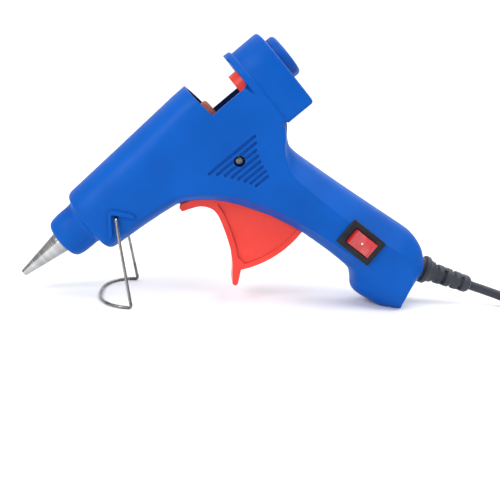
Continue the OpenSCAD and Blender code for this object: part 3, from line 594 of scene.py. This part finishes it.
def rod(name, radius, u0, u1):
    """A round tool along the stick's axis."""
    return turned(name, [(0, radius), (u1 - u0, radius)], gun(u0, 0), gun(1, 0) - gun(0, 0), 72)


def housing_body(name, inset, first=0, last=None):
    """The housing without its rear block. The outer one has a rounded front edge."""
    stations = fine_stations()[first:last]
    rings = [section(*station, inset) for station in stations]
    if not inset:
        lead = []
        for ahead, rounding in ((0, 1.5), (0.12, 0.95), (0.45, 0.42), (1.0, 0.1), (1.7, 0)):
            step = Vector((ahead, 0, 0))
            low, high, *shape = stations[0]
            lead.append(section(low + step, high + step, *shape, rounding))
        rings = lead + rings[1:]
    return skinned(name, rings)


REAR_R, REAR_FRONT, REAR_END, REAR_DROP, LIP = 12.4, 107.0, 121.3, 18.0, 1.1
# The block stays this far within the flat side, so that the two never share a face
BLOCK_HALF, BLOCK_CORNER = BODY_HALF - 0.02, 1.2


def block_ring(u, grow, drop=REAR_DROP):
    """Across the rear block: a round top, straight sides and a flat bottom."""
    r = REAR_R + grow
    outline = [(r * cos(radians(a)), r * sin(radians(a))) for a in range(0, 181, 6)]
    outline = [(min(max(y, -BLOCK_HALF), BLOCK_HALF), v) for y, v in outline]
    r = min(r, BLOCK_HALF)
    floor = abs(grow) - drop
    for sy, angles in ((-1, range(180, 271, 15)), (1, range(270, 361, 15))):
        outline += [
            (sy * (r - BLOCK_CORNER) + BLOCK_CORNER * cos(radians(a)),
             floor + BLOCK_CORNER + BLOCK_CORNER * sin(radians(a)))
            for a in angles
        ]
    return [gun(u, v, y) for y, v in outline]


SCREWS = ((88.2, -17.3, -1), (35.8, -10.2, 1), (114.5, -12.9, 1), (106.2, -52.5, 1))
SCREW_HEAD_R = 1.75
VENTS = (
    (-13.9, 77.4, 97.9), (-15.9, 79.3, 96.6), (-17.9, 81.2, 95.1), (-19.9, 82.7, 94.3),
    (-21.9, 84, 93.6), (-23.9, 85.3, 93.1), (-25.8, 86.5, 93), (-27.7, 87.3, 92.4),
)
V_RIB = (
    (35.4, -8.6), (40.6, -2.2), (42.6, -1.4), (47.8, -8.2), (46.7, -9.1), (42, -3.2),
    (41.3, -3.3), (36.6, -9.4),
)
RIB_OUT = 0.9
STAND_PIVOT = (42, -4.8)
SWITCH_AT = (103.3, -68)
SWITCH_TURN = radians(78.3)
# The hollow starts and ends this many of the fine stations inside the housing
HOLLOW_STATIONS = (3, -8)
SCREW_SINK = 2.4
VENT_HALF, VENT_DEPTH = 0.52, 0.6


def on_switch(a, b, c):
    """A point on the switch: a along its length, b across it, c out of the housing."""
    return gun(
        SWITCH_AT[0] + a * cos(SWITCH_TURN) + b * sin(SWITCH_TURN),
        SWITCH_AT[1] - a * sin(SWITCH_TURN) + b * cos(SWITCH_TURN),
        -BODY_HALF - c,
    )


def switch_block(name, a0, a1, b0, b1, c0, c1):
    """A block in the switch's directions."""
    corners = [
        on_switch(a, b, c)
        for c in (c0, c1) for a, b in ((a0, b0), (a1, b0), (a1, b1), (a0, b1))
    ]
    faces = [(0, 1, 2, 3), (4, 5, 6, 7), (0, 1, 5, 4), (1, 2, 6, 5), (2, 3, 7, 6), (3, 0, 4, 7)]
    return mesh_piece(name, corners, faces)


body = housing_body("body", 0)
block = skinned("block", [
    block_ring(u, grow) for u, grow in (
        (REAR_FRONT, LIP - 0.7), (REAR_FRONT + 0.12, LIP - 0.3), (REAR_FRONT + 0.5, LIP),
        (108.9, LIP), (109.3, LIP - 0.12), (109.6, LIP - 0.45), (109.75, 0.15), (110, 0),
        (114, 0), (REAR_END - 1.1, 0), (REAR_END - 0.35, -0.3), (REAR_END, -1),
    )
])
cut(body, block, "UNION")
for y0, y1 in ((-BODY_HALF - RIB_OUT, -BODY_HALF + 1), (BODY_HALF - 1, BODY_HALF + RIB_OUT)):
    cut(body, slab("rib", V_RIB, y0, y1), "UNION")
for tool in (
    housing_body("hollow", WALL, *HOLLOW_STATIONS),
    skinned("block_hollow", [
        block_ring(u, -WALL, REAR_DROP - 1.8) for u in (REAR_FRONT + WALL, REAR_END - 2)
    ]),
    slab("feed_way", ((88, -10), (110, -10), (110, 2), (88, 2)), -10.9, 10.9),
):
    cut(body, tool)
cut(body, slab("window", (
    (91, 1), (105.4, 1), (106.5, 1.5), (107, 2.6), (107, 30), (88.6, 30), (89.6, 14)
), -20, 20))
cut(body, rod("front_bore", 4.6, 30, 36))
cut(body, rod("rear_bore", 7.05, 117, 124))
cut(body, slab("trigger_slot", (
    (61.7, -30), (61.7, -12), (72, -12), (84, -26), (95.5, -49), (95.5, -56), (75, -56)
), -6, 6))
cut(body, peg("stand_hole", STAND_PIVOT, 0.75, -20, 20))
cut(body, turned(
    "relief_way", [(-9, 4.0), (0, 4.0), (0.05, 5.4), (12, 5.4)], relief_root, relief_axis, 64
))
cut(body, switch_block("switch_way", -6.6, 6.6, -4.45, 4.45, -8, 5))
for u, v, side in SCREWS:
    y0, y1 = sorted((side * (BODY_HALF - SCREW_SINK), side * 20))
    cut(body, peg("counterbore", (u, v), SCREW_HEAD_R + 0.25, y0, y1))
for v, u0, u1 in VENTS:
    outline = [
        (end + VENT_HALF * cos(radians(a)), v + VENT_HALF * sin(radians(a)))
        for end, angles in ((u1, range(-90, 91, 30)), (u0, range(90, 271, 30))) for a in angles
    ]
    cut(body, slab("vent", outline, -BODY_HALF - 1, -BODY_HALF + VENT_DEPTH))

blue_abs, blue_skin = finish("blue_abs", 0.42)
blue_skin.inputs["Specular IOR Level"].default_value = 0.1
shades(blue_abs, blue_skin, noise(blue_abs, 45, 3), (0.0004, 0.07, 0.35), (0.0008, 0.084, 0.41))
gloss(blue_abs, blue_skin, noise(blue_abs, 260, 3), 0.38, 0.5)
relief(blue_abs, blue_skin, noise(blue_abs, 2400, 2), 0.00004, 0.45, edge=0.0004)
# A darker, matter copy of the blue for the shells' inner walls: painted shade, so that the inside
# looks shaded through the window.
blue_inside_painted_shade, inside_shade_skin = finish("blue_inside_painted_shade", 0.6)
inside_shade_skin.inputs["Specular IOR Level"].default_value = 0.1
shades(
    blue_inside_painted_shade, inside_shade_skin, noise(blue_inside_painted_shade, 60, 3), (0.0005, 0.012, 0.07), (0.001, 0.018, 0.1)
)
gloss(blue_inside_painted_shade, inside_shade_skin, noise(blue_inside_painted_shade, 300), 0.5, 0.7)
relief(blue_inside_painted_shade, inside_shade_skin, noise(blue_inside_painted_shade, 1500), 0.00006, 0.5)

PARTING = 0.07
for name, node, y0, y1 in (
    ("shell_near", "left_shell", -30, -PARTING), ("shell_far", "right_shell", PARTING, 30)
):
    shell = bpy.data.objects.new(name, body.data.copy())
    bpy.context.collection.objects.link(shell)
    keep = slab("keep", ((20, -130), (150, -130), (150, 40), (20, 40)), y0, y1)
    cut(shell, keep, "INTERSECT")
    soften(shell, 24)
    settle(shell, blue_abs, "housing", "blue_abs", node)
    shell.data.materials.append(blue_inside_painted_shade)
    # Its inner walls are the ones that face the middle plane from within the flat side. They get
    # the darker blue, which is painted shade.
    inward = 1 if y1 < 0 else -1
    for face in shell.data.polygons:
        if face.normal.y * inward > 0.25 and abs(face.center.y) < (BODY_HALF - WALL + 0.4) * MM:
            face.material_index = 1
bpy.data.objects.remove(body)

# ---------- Front collar ----------
# The same blue ABS. A domed ring round the hot nozzle's base that flares back into
# the housing's front wall and is held between the two shells.

COLLAR_R, COLLAR_BORE_R, COLLAR_BACK = 8.4, 4.35, 32.3
COLLAR_DOME = (
    (19.4, 6.2), (19.6, 6.95), (20.1, 7.55), (21.1, 8.0), (22.6, 8.28), (24.4, COLLAR_R),
    (27.2, COLLAR_R),
)
front_ring = section(*fine_stations()[0], 1.3)
FLARE = ((28.6, 0.0), (29.7, 0.05), (30.6, 0.17), (31.3, 0.4), (31.75, 0.7), (32.05, 1.0))


def collar_ring(u, r, flare=0.0):
    """A circle round the axis that turns into the housing's front outline."""
    ring = []
    for p in front_ring:
        shift = Vector(p) - gun(32, 0)
        up = gun(0, 1) - gun(0, 0)
        y, v = shift.y, shift.dot(up)
        a = atan2(v, y)
        ring.append(gun(
            u, r * sin(a) * (1 - flare) + v * flare, r * cos(a) * (1 - flare) + y * flare
        ))
    return ring


collar_rings = [
    collar_ring(COLLAR_BACK, COLLAR_BORE_R), collar_ring(19.8, COLLAR_BORE_R),
    collar_ring(19.4, 4.8),
]
collar_rings += [collar_ring(u, r) for u, r in COLLAR_DOME]
collar_rings += [collar_ring(u, COLLAR_R, f) for u, f in FLARE]
collar_rings += [collar_ring(COLLAR_BACK, COLLAR_R, 1.0)]
collar = skinned("nose_collar", collar_rings + [collar_rings[0]], 50, capped=False)
settle(collar, blue_abs, "housing", "blue_abs", "front_collar")

# ---------- Nozzle ----------
# Turned from bar and plated bright, with a bore that narrows to the mouth. Fine rings
# from the lathe run round the cone.

nozzle_metal, nozzle_skin = finish("bright_nozzle", 0.2, metallic=1)
AXIS_TURN = (0, -BARREL_TILT, 0)
shades(nozzle_metal, nozzle_skin, noise(nozzle_metal, 1, 3, (500, 5, 5), AXIS_TURN),
       (0.38, 0.38, 0.38), (0.52, 0.52, 0.51))
gloss(nozzle_metal, nozzle_skin, noise(nozzle_metal, 1, 2, (1500, 60, 60), AXIS_TURN), 0.14, 0.3)
relief(nozzle_metal, nozzle_skin, noise(nozzle_metal, 1, 2, (2600, 4, 4), AXIS_TURN), 0.00003, 0.5)
axis = gun(1, 0) - gun(0, 0)
nozzle = turned(
    "nozzle_cone",
    [(4, 0.75), (0.1, 0.75), (0, 0.85), (0, 1.15), (0.12, 1.3), (0.9, 1.38), (1.1, 1.44),
     (16.6, 3.86), (18, 4.05), (18.4, 4.1), (20.2, 4.1), (20.2, 3), (36, 3), (36, 1.9), (8, 1.9)],
    gun(0, 0), axis, 80, closed=True, crease=28,
)
settle(nozzle, nozzle_metal, "housing", "nozzle_metal", "nozzle")

# ---------- Stick sleeve ----------
# A soft heat-proof tube of orange silicone that leads the stick into the melt chamber.
# It ends in a rolled rim, just inside the window.

silicone, silicone_skin = finish("orange_silicone", 0.5)
shades(silicone, silicone_skin, noise(silicone, 130, 3), (0.27, 0.05, 0.022), (0.4, 0.08, 0.034))
gloss(silicone, silicone_skin, noise(silicone, 500), 0.45, 0.62)
relief(silicone, silicone_skin, noise(silicone, 1800), 0.00005, 0.5)
silicone_skin.inputs["Subsurface Weight"].default_value = 0.15
silicone_skin.inputs["Subsurface Scale"].default_value = 0.002
sleeve = turned(
    "stick_sleeve",
    [(56.3, 4.6), (56.3, 6), (91.2, 6), (91.8, 5.85), (92.2, 5.4), (92.35, 4.8), (92.2, 4.2),
     (91.5, 3.9), (64.5, 3.9), (64.4, 4.6)],
    gun(0, 0), axis, 64, closed=True, crease=60,
)
settle(sleeve, silicone, "housing", "silicone", "inlet_sleeve")

# ---------- Inlet ring ----------
# The blue guide that the stick is pushed into, a collar with a rolled rim and a
# funnel mouth, held by its neck in the rear wall.

ring_blue, ring_skin = finish("ring_blue", 0.42)
ring_skin.inputs["Specular IOR Level"].default_value = 0.16
shades(ring_blue, ring_skin, noise(ring_blue, 60, 3), (0.0004, 0.058, 0.31), (0.0008, 0.07, 0.36))
gloss(ring_blue, ring_skin, noise(ring_blue, 300, 3), 0.36, 0.5)
relief(ring_blue, ring_skin, noise(ring_blue, 2400), 0.00004, 0.45)
inlet_ring = turned(
    "inlet_guide",
    [(117.7, 3.9), (117.7, 7.8), (119.3, 7.8), (119.3, 7), (121.3, 7), (121.35, 8.2), (123.5, 8.2),
     (124.2, 8.07), (124.7, 7.7), (124.95, 7.2), (125, 6.1), (124.85, 5.4), (124.5, 4.8),
     (123.9, 4.3), (123.2, 4.0), (122.6, 3.9)],
    gun(0, 0), axis, 80, closed=True, crease=45,
)
settle(inlet_ring, ring_blue, "housing", "blue_abs", "inlet_ring")

# ---------- Trigger ----------
# One moulding in bright orange-red plastic: a flat web with a proud blade and rim, a
# hub on the pin, and two fork arms that drive the feeder.

PIVOT = (80.4, -16.6)
RIM_R = 37.6
BLADE_HALF = 5.5
WEB_HALF = 4.7
# The front edge from the pivot, straight up to its fourth point and then a smooth line
BLADE = (
    (-3.9, -2), (-15.8, -1.2), (-17.5, -0.5), (-18.9, -0.2), (-19.9, -0.7), (-20.1, -1.6),
    (-19.8, -2.6), (-17.2, -3.6), (-13.6, -5.5), (-11.2, -8.9), (-11.2, -12.5),
    (-12.5, -16.8), (-13.7, -20.1), (-16, -25.3), (-18.4, -29.2), (-20.5, -31.9),
    (-23.2, -34.9),
)
TAIL_END, TAIL_R = (-22.4, -35.6), 1.05
RIM_END = -73.5
ARM_LEAN = radians(12.5)


def on_rim(a, r=RIM_R):
    """A point from the pivot, at a degrees and r away."""
    return (r * cos(radians(a)), r * sin(radians(a)))


def about_pivot(outline):
    """An outline drawn from the pivot, in the gun's side view."""
    return [(PIVOT[0] + x, PIVOT[1] + z) for x, z in outline]


front_edge = [(p.x, p.y) for p in smoothed([flat(p) for p in BLADE[3:]], 4)]
outer = list(BLADE[:3]) + front_edge
for a in range(15, 181, 15):
    # The tail's round end, from its front side to its back
    down, back = TAIL_R * sin(radians(a)), -TAIL_R * cos(radians(a))
    outer.append((
        TAIL_END[0] - down * sin(BARREL_TILT) + back * cos(BARREL_TILT),
        TAIL_END[1] - down * cos(BARREL_TILT) - back * sin(BARREL_TILT),
    ))
outer += [on_rim(a) for a in range(-118, -72, 2)] + [on_rim(RIM_END)]
outer += [on_rim(RIM_END, RIM_R - 4), (5.6, -14), (2.9, -2)]
inner = [(20, -10), (9, -4), (-8.6, -8.8), (-8.9, -12.5), (-10.3, -17), (-11.5, -20.5),
         (-13.7, -25.8), (-15.4, -28.6)]
inner += [on_rim(a, RIM_R - 1.9) for a in range(-115, -62, 2)]
trigger = slab("trigger_grip", about_pivot(outer), -BLADE_HALF, BLADE_HALF)
for y0, y1 in ((-9, -WEB_HALF), (WEB_HALF, 9)):
    cut(trigger, slab("web", about_pivot(inner), y0, y1))
cut(trigger, peg("hub", PIVOT, 3.7, -10.45, 10.45), "UNION")
for side in (-1, 1):
    y0, y1 = sorted((side * 8.7, side * 10.5))
    arm = [
        (x * cos(ARM_LEAN) + z * sin(ARM_LEAN), -x * sin(ARM_LEAN) + z * cos(ARM_LEAN))
        for x, z in (
            (-3, 0), (3, 0), (3.1, 12.6), (3.1, 17.2), (1.7, 17.2), (1.7, 13.4), (-1.7, 13.4),
            (-1.7, 17.2), (-3.1, 17.2), (-3.1, 12.6),
        )
    ]
    cut(trigger, slab("arm", about_pivot(arm), y0, y1), "UNION")
cut(trigger, peg("pin_way", PIVOT, 1.6, -20, 20))


def round_edges(piece, width, segments):
    """Rounds the moulded edges of a piece."""
    worn = piece.modifiers.new("edges", "BEVEL")
    worn.width = width * MM
    worn.segments = segments
    worn.limit_method = "ANGLE"
    worn.angle_limit = radians(35)
    worn.use_clamp_overlap = True
    rounded = bpy.data.meshes.new_from_object(
        piece.evaluated_get(bpy.context.evaluated_depsgraph_get())
    )
    piece.modifiers.clear()
    old = piece.data
    piece.data = rounded
    bpy.data.meshes.remove(old)
    soften(piece)


soften(trigger, 30)
red_plastic, red_skin = finish("trigger_red", 0.36)
red_skin.inputs["Specular IOR Level"].default_value = 0.25
red_skin.inputs["Subsurface Weight"].default_value = 0.12
red_skin.inputs["Subsurface Scale"].default_value = 0.0015
shades(red_plastic, red_skin, noise(red_plastic, 60, 3), (0.75, 0.045, 0.032), (0.82, 0.057, 0.04))
gloss(red_plastic, red_skin, noise(red_plastic, 320, 3), 0.28, 0.42)
relief(red_plastic, red_skin, noise(red_plastic, 2200, 2), 0.00003, 0.4, edge=0.0004)
settle(trigger, red_plastic, "trigger", "red_plastic", "trigger")

# ---------- Feeder ----------
# A red block with a bore for the stick. Two side rails guide it in the rear of the
# housing, and studs on them sit in the trigger's fork.

RAIL_LOW, RAIL_TOP, RAIL_BACK = -4.4, -0.9, 114
feeder = rod("stick_feeder", 6.9, 103.7, 115)
cut(feeder, slab("sides", ((103, -8), (116, -8), (116, 8), (103, 8)), -6.2, 6.2), "INTERSECT")
for side in (-1, 1):
    for name, front, inner_y in (("rail_root", 104.7, 5.4), ("rail", 81.4, 6.4)):
        y0, y1 = sorted((side * inner_y, side * 8.4))
        cut(feeder, slab(name, (
            (front, RAIL_LOW), (RAIL_BACK, RAIL_LOW), (RAIL_BACK, RAIL_TOP), (front, RAIL_TOP)
        ), y0, y1), "UNION")
    y0, y1 = sorted((side * 6.4, side * 10.5))
    cut(feeder, peg("stud", (83.75, -1.5), 1.5, y0, y1), "UNION")
cut(feeder, slab("lug", ((107, -12), (110, -12), (110, -5), (107, -5)), -2.6, 2.6), "UNION")
cut(feeder, rod("stick_way", 4.2, 100, 118))
soften(feeder, 30)
settle(feeder, red_plastic, "feed", "red_plastic", "feeder")

# ---------- Wire stand ----------
# Spring steel wire, 1.1 mm, bent in one piece. Its two ends hook into holes in the
# housing inside the V ribs, and its foot is a curved loop on the table.

WIRE_R = 0.55
LEG_Y = BODY_HALF + WIRE_R + 0.7
FOOT_BACK, FOOT_HALF, FOOT_REACH = 40.8, 19.0, 12.5
foot_corner = (
    FOOT_BACK * cos(BARREL_TILT) + (WIRE_R - NOZZLE_TIP.z) * sin(BARREL_TILT),
    -FOOT_BACK * sin(BARREL_TILT) + (WIRE_R - NOZZLE_TIP.z) * cos(BARREL_TILT),
)


def mid(a, b, t):
    """The value t of the way from a to b."""
    return a + (b - a) * t


half_wire = [
    gun(*STAND_PIVOT, BODY_HALF - 1.2), gun(*STAND_PIVOT, BODY_HALF), gun(41.9, -5.2, LEG_Y),
    gun(41.3, -6.4, LEG_Y + 0.25),
]
half_wire += [
    gun(
        mid(STAND_PIVOT[0], foot_corner[0], t), mid(STAND_PIVOT[1], foot_corner[1], t),
        mid(LEG_Y, FOOT_HALF, t),
    )
    for t in (0.2, 0.5, 0.8, 0.93, 0.975)
]
for a in (3, 8, 20, 35, 50, 65, 78):
    half_wire.append(gun(
        foot_corner[0] - cos(BARREL_TILT) * FOOT_REACH * sin(radians(a)),
        foot_corner[1] + sin(BARREL_TILT) * FOOT_REACH * sin(radians(a)),
        FOOT_HALF * cos(radians(a)) ** 0.8,
    ))
toe = gun(
    foot_corner[0] - cos(BARREL_TILT) * FOOT_REACH, foot_corner[1] + sin(BARREL_TILT) * FOOT_REACH
)
other_half = [Vector((p.x, -p.y, p.z)) for p in reversed(half_wire)]
stand = wire_piece("stand_frame", smoothed(half_wire + [toe] + other_half, 5), WIRE_R)
bright_wire, wire_skin = finish("bright_wire", 0.25, metallic=1)
shades(
    bright_wire, wire_skin, noise(bright_wire, 180, 3), (0.14, 0.135, 0.13), (0.34, 0.33, 0.32)
)
gloss(bright_wire, wire_skin, noise(bright_wire, 700, 2), 0.16, 0.36)
relief(bright_wire, wire_skin, noise(bright_wire, 1400, 2, (1, 1, 0.15)), 0.00003, 0.5)
settle(stand, bright_wire, "stand", "steel", "stand_wire")

# ---------- Switch ----------
# A snap-in rocker switch: a black nylon case with a raised bezel and a glossy red
# rocker, ribbed on its off half, with a small white dot.

BEZEL_LEN, BEZEL_WID, BEZEL_OUT = 15, 10.5, 1.2
case = switch_block(
    "switch_frame", -BEZEL_LEN / 2, BEZEL_LEN / 2, -BEZEL_WID / 2, BEZEL_WID / 2, 0, BEZEL_OUT
)
round_edges(case, 0.45, 4)
cut(case, switch_block("case_tail", -6.45, 6.45, -4.35, 4.35, -10.5, 0.3), "UNION")
cut(case, switch_block("well", -5.1, 5.1, -3.2, 3.2, -6, 4))
soften(case, 30)
black_nylon, nylon_skin = finish("black_nylon", 0.42)
nylon_skin.inputs["Specular IOR Level"].default_value = 0.2
shades(
    black_nylon, nylon_skin, noise(black_nylon, 200, 3), (0.008, 0.008, 0.011),
    (0.016, 0.016, 0.021)
)
gloss(black_nylon, nylon_skin, noise(black_nylon, 700), 0.34, 0.5)
relief(black_nylon, nylon_skin, noise(black_nylon, 3000), 0.00004, 0.5, edge=0.0003)
settle(case, black_nylon, "housing", "black_plastic", "switch_case")

ROCK = radians(8)
ROCKER_HALF, ROCKER_SIDE = 4.85, 2.95
ROCKER_AXIS_C = BEZEL_OUT - 1.6


def on_rocker(a, b, c):
    """A point of the rocker, tipped about its pin with the right half pressed in."""
    return on_switch(
        a * cos(ROCK) + c * sin(ROCK), b, ROCKER_AXIS_C - a * sin(ROCK) + c * cos(ROCK)
    )


def rocker_top(a):
    """Height of the hollow top, with fine ribs on the half that isn't pressed in."""
    ribs = 0.14 * (0.5 + 0.5 * cos(2 * pi * (a - 0.9) / 0.8)) if 0.9 < a < 4.1 else 0
    return 2.3 + 0.7 * (abs(a) / ROCKER_HALF) ** 1.2 - ribs


ROCKER_RINGS = 97
rocker_rings = []
for i in range(ROCKER_RINGS):
    a = -ROCKER_HALF + 2 * ROCKER_HALF * i / (ROCKER_RINGS - 1)
    top = rocker_top(a) - (0.35 if i in (0, ROCKER_RINGS - 1) else 0)
    foot = -2.4 if abs(a) < 3.9 else -2.4 + (abs(a) - 3.9) * 2.2
    ring = ((-ROCKER_SIDE, foot), (-ROCKER_SIDE, top - 0.3), (-ROCKER_SIDE + 0.1, top - 0.08),
            (-ROCKER_SIDE + 0.32, top), (ROCKER_SIDE - 0.32, top), (ROCKER_SIDE - 0.1, top - 0.08),
            (ROCKER_SIDE, top - 0.3), (ROCKER_SIDE, foot))
    rocker_rings.append([on_rocker(a, b, c) for b, c in ring])
rocker = skinned("rocker_key", rocker_rings, 40)
rocker_red, rocker_skin = finish("rocker_red", 0.16, coat=0.4)
rocker_skin.inputs["Subsurface Weight"].default_value = 0.3
rocker_skin.inputs["Subsurface Scale"].default_value = 0.001
shades(rocker_red, rocker_skin, noise(rocker_red, 220, 3), (0.46, 0.016, 0.02), (0.58, 0.03, 0.034))
gloss(rocker_red, rocker_skin, noise(rocker_red, 600), 0.12, 0.24)
relief(rocker_red, rocker_skin, noise(rocker_red, 1500), 0.00002, 0.35)
settle(rocker, rocker_red, "rocker", "rocker_red", "switch_rocker")

DOT_SIDES = 20
dot_rings = []
for r, lift in ((0.42, 0.0), (0.4, 0.05), (0.3, 0.09), (0.12, 0.1)):
    dot_rings.append([
        on_rocker(
            -0.2 + r * cos(2 * pi * k / DOT_SIDES), r * sin(2 * pi * k / DOT_SIDES), 2.26 + lift
        )
        for k in range(DOT_SIDES)
    ])
dot = skinned("rocker_dot", dot_rings)
dot_paint, dot_skin = finish("white_mark", 0.4)
shades(dot_paint, dot_skin, noise(dot_paint, 900, 2), (0.72, 0.68, 0.66), (0.88, 0.86, 0.84))
gloss(dot_paint, dot_skin, noise(dot_paint, 900), 0.3, 0.5)
settle(dot, dot_paint, "rocker", "clamp_white")

# ---------- Housing screws ----------
# Four zinc-plated self-tapping screws with rounded cross heads, sunk in counterbores:
# one in the left side among the vents, three in the right.

screw_steel, screw_skin = finish("zinc_screw", 0.3, metallic=1)
shades(screw_steel, screw_skin, noise(screw_steel, 500, 3), (0.1, 0.1, 0.1), (0.22, 0.215, 0.205))
gloss(screw_steel, screw_skin, noise(screw_steel, 1500), 0.22, 0.42)
relief(screw_steel, screw_skin, noise(screw_steel, 4000), 0.00003, 0.5)
for i, (u, v, side) in enumerate(SCREWS):
    seat = side * (BODY_HALF - SCREW_SINK)
    head = turned(
        f"screw_{i + 1}",
        [(-17, 0), (-17, 0.5), (-15.5, 1), (0, 1.1), (0, SCREW_HEAD_R), (0.3, SCREW_HEAD_R),
         (0.65, 1.6), (0.9, 1.2), (1.02, 0.7), (1.05, 0)],
        gun(u, v, seat), (0, side, 0), 40,
    )
    for slot_turn in (0.35, 0.35 + pi / 2):
        arm_u, arm_v = cos(slot_turn), sin(slot_turn)
        outline = [(u + x * arm_u - w * arm_v, v + x * arm_v + w * arm_u)
                   for x, w in ((-1.05, -0.22), (1.05, -0.22), (1.05, 0.22), (-1.05, 0.22))]
        y0, y1 = sorted((seat + side * 0.3, seat + side * 2))
        cut(head, slab("cross", outline, y0, y1))
    soften(head, 30)
    settle(head, screw_steel, "housing", "steel")
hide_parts("housing_screws")

# ---------- Working parts inside ----------
# The melt chamber with its heater pack and clip, the trigger's pin and spring, the
# wiring, the cord clamp and the switch's tabs keep the shapes that model.glb gives them.


def plain_metal(name, dark, light, low, high):
    material, skin = finish(name, (low + high) / 2, metallic=1)
    shades(material, skin, noise(material, 160, 3), dark, light)
    gloss(material, skin, noise(material, 700, 3), low, high)
    relief(material, skin, noise(material, 1600, 3, (1, 1, 0.1)), 0.00003, 0.5)
    return material


def plain_plastic(name, dark, light, low, high):
    material, skin = finish(name, (low + high) / 2)
    shades(material, skin, noise(material, 160, 3), dark, light)
    gloss(material, skin, noise(material, 600, 2), low, high)
    relief(material, skin, noise(material, 2200, 2), 0.00004, 0.5)
    return material


INNER_FINISHES = (
    (plain_metal("cast_aluminium", (0.5, 0.5, 0.51), (0.66, 0.66, 0.67), 0.35, 0.55),
     ["melt_chamber"]),
    (plain_plastic("heater_ceramic", (0.6, 0.56, 0.48), (0.76, 0.72, 0.64), 0.6, 0.8),
     ["heater_plate"]),
    (plain_plastic("amber_film", (0.45, 0.2, 0.02), (0.6, 0.3, 0.04), 0.12, 0.25),
     ["heater_film"]),
    (plain_metal("spring_steel", (0.42, 0.42, 0.43), (0.6, 0.6, 0.62), 0.22, 0.38),
     ["heater_clip", "sleeve_clip", "trigger_pin", "grip_plate", "return_spring", "clamp_screws"]),
    (plain_metal("stamped_brass", (0.6, 0.44, 0.16), (0.76, 0.58, 0.25), 0.25, 0.42),
     ["switch_terminals"]),
    (plain_plastic("glass_sleeving", (0.66, 0.64, 0.58), (0.84, 0.82, 0.76), 0.55, 0.75),
     ["heater_leads"]),
    (plain_plastic("brown_lead", (0.13, 0.055, 0.025), (0.2, 0.09, 0.045), 0.3, 0.45),
     ["core_leads"]),
    (plain_plastic("white_nylon", (0.66, 0.66, 0.62), (0.8, 0.8, 0.76), 0.35, 0.5),
     ["cord_clamp", "crimp_sleeve"]),
    (slate_pvc, ["inner_flex"]),
)
for material, nodes in INNER_FINISHES:
    for node in nodes:
        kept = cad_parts[node]
        kept.data.materials.clear()
        kept.data.materials.append(material)

# ---------- Table and light ----------
# A plain pale table that sweeps up behind the gun, and soft studio light: panels above
# on both sides, weaker ones in front and behind, one on the wall and a white surround.

sweep = [(-2000, 0), (900, 0)]
sweep += [(900 + 500 * sin(radians(a)), 500 - 500 * cos(radians(a))) for a in range(10, 91, 10)]
sweep += [(1400, 3000)]
sweep_points = [(x, y, z) for y, z in sweep for x in (-3000, 3000)]
sweep_faces = [(2 * k, 2 * k + 1, 2 * k + 3, 2 * k + 2) for k in range(len(sweep) - 1)]
table = mesh_piece("table", sweep_points, sweep_faces)
table_white, table_skin = finish("table_white", 0.6)
shades(table_white, table_skin, noise(table_white, 8, 3), (0.86, 0.865, 0.87), (0.9, 0.9, 0.905))
gloss(table_white, table_skin, noise(table_white, 30), 0.5, 0.65)
table.data.materials.append(table_white)


def light_panel(name, place, aim, size, power):
    panel = bpy.data.lights.new(name, "AREA")
    panel.shape = "RECTANGLE"
    panel.size, panel.size_y = size
    panel.energy = power
    lamp = bpy.data.objects.new(name, panel)
    lamp.location = place
    lamp.rotation_mode = "QUATERNION"
    lamp.rotation_quaternion = (Vector(aim) - Vector(place)).to_track_quat("-Z", "Y")
    bpy.context.collection.objects.link(lamp)


light_panel("panel_above", (-0.62, -0.5, 0.58), (0, 0, 0.04), (0.45, 0.45), 5.0)
light_panel("panel_front", (-0.5, -0.9, 0.12), (0, 0, 0.04), (0.5, 0.3), 1.2)
light_panel("panel_top", (0.45, -0.2, 0.95), (0, 0, 0.04), (0.7, 0.7), 8.5)
light_panel("panel_wall", (0, 0.7, 1.9), (0, 1.4, 0.8), (2.4, 0.5), 16.0)
light_panel("panel_back", (0.5, 0.6, 0.7), (0, 0, 0.05), (0.5, 0.5), 2.5)

surround = bpy.data.worlds.new("surround")
surround.use_nodes = True
surround.node_tree.nodes["Background"].inputs["Color"].default_value = (0.96, 0.98, 1, 1)
surround.node_tree.nodes["Background"].inputs["Strength"].default_value = 0.5
bpy.context.scene.world = surround
bpy.context.scene.view_settings.view_transform = "Standard"
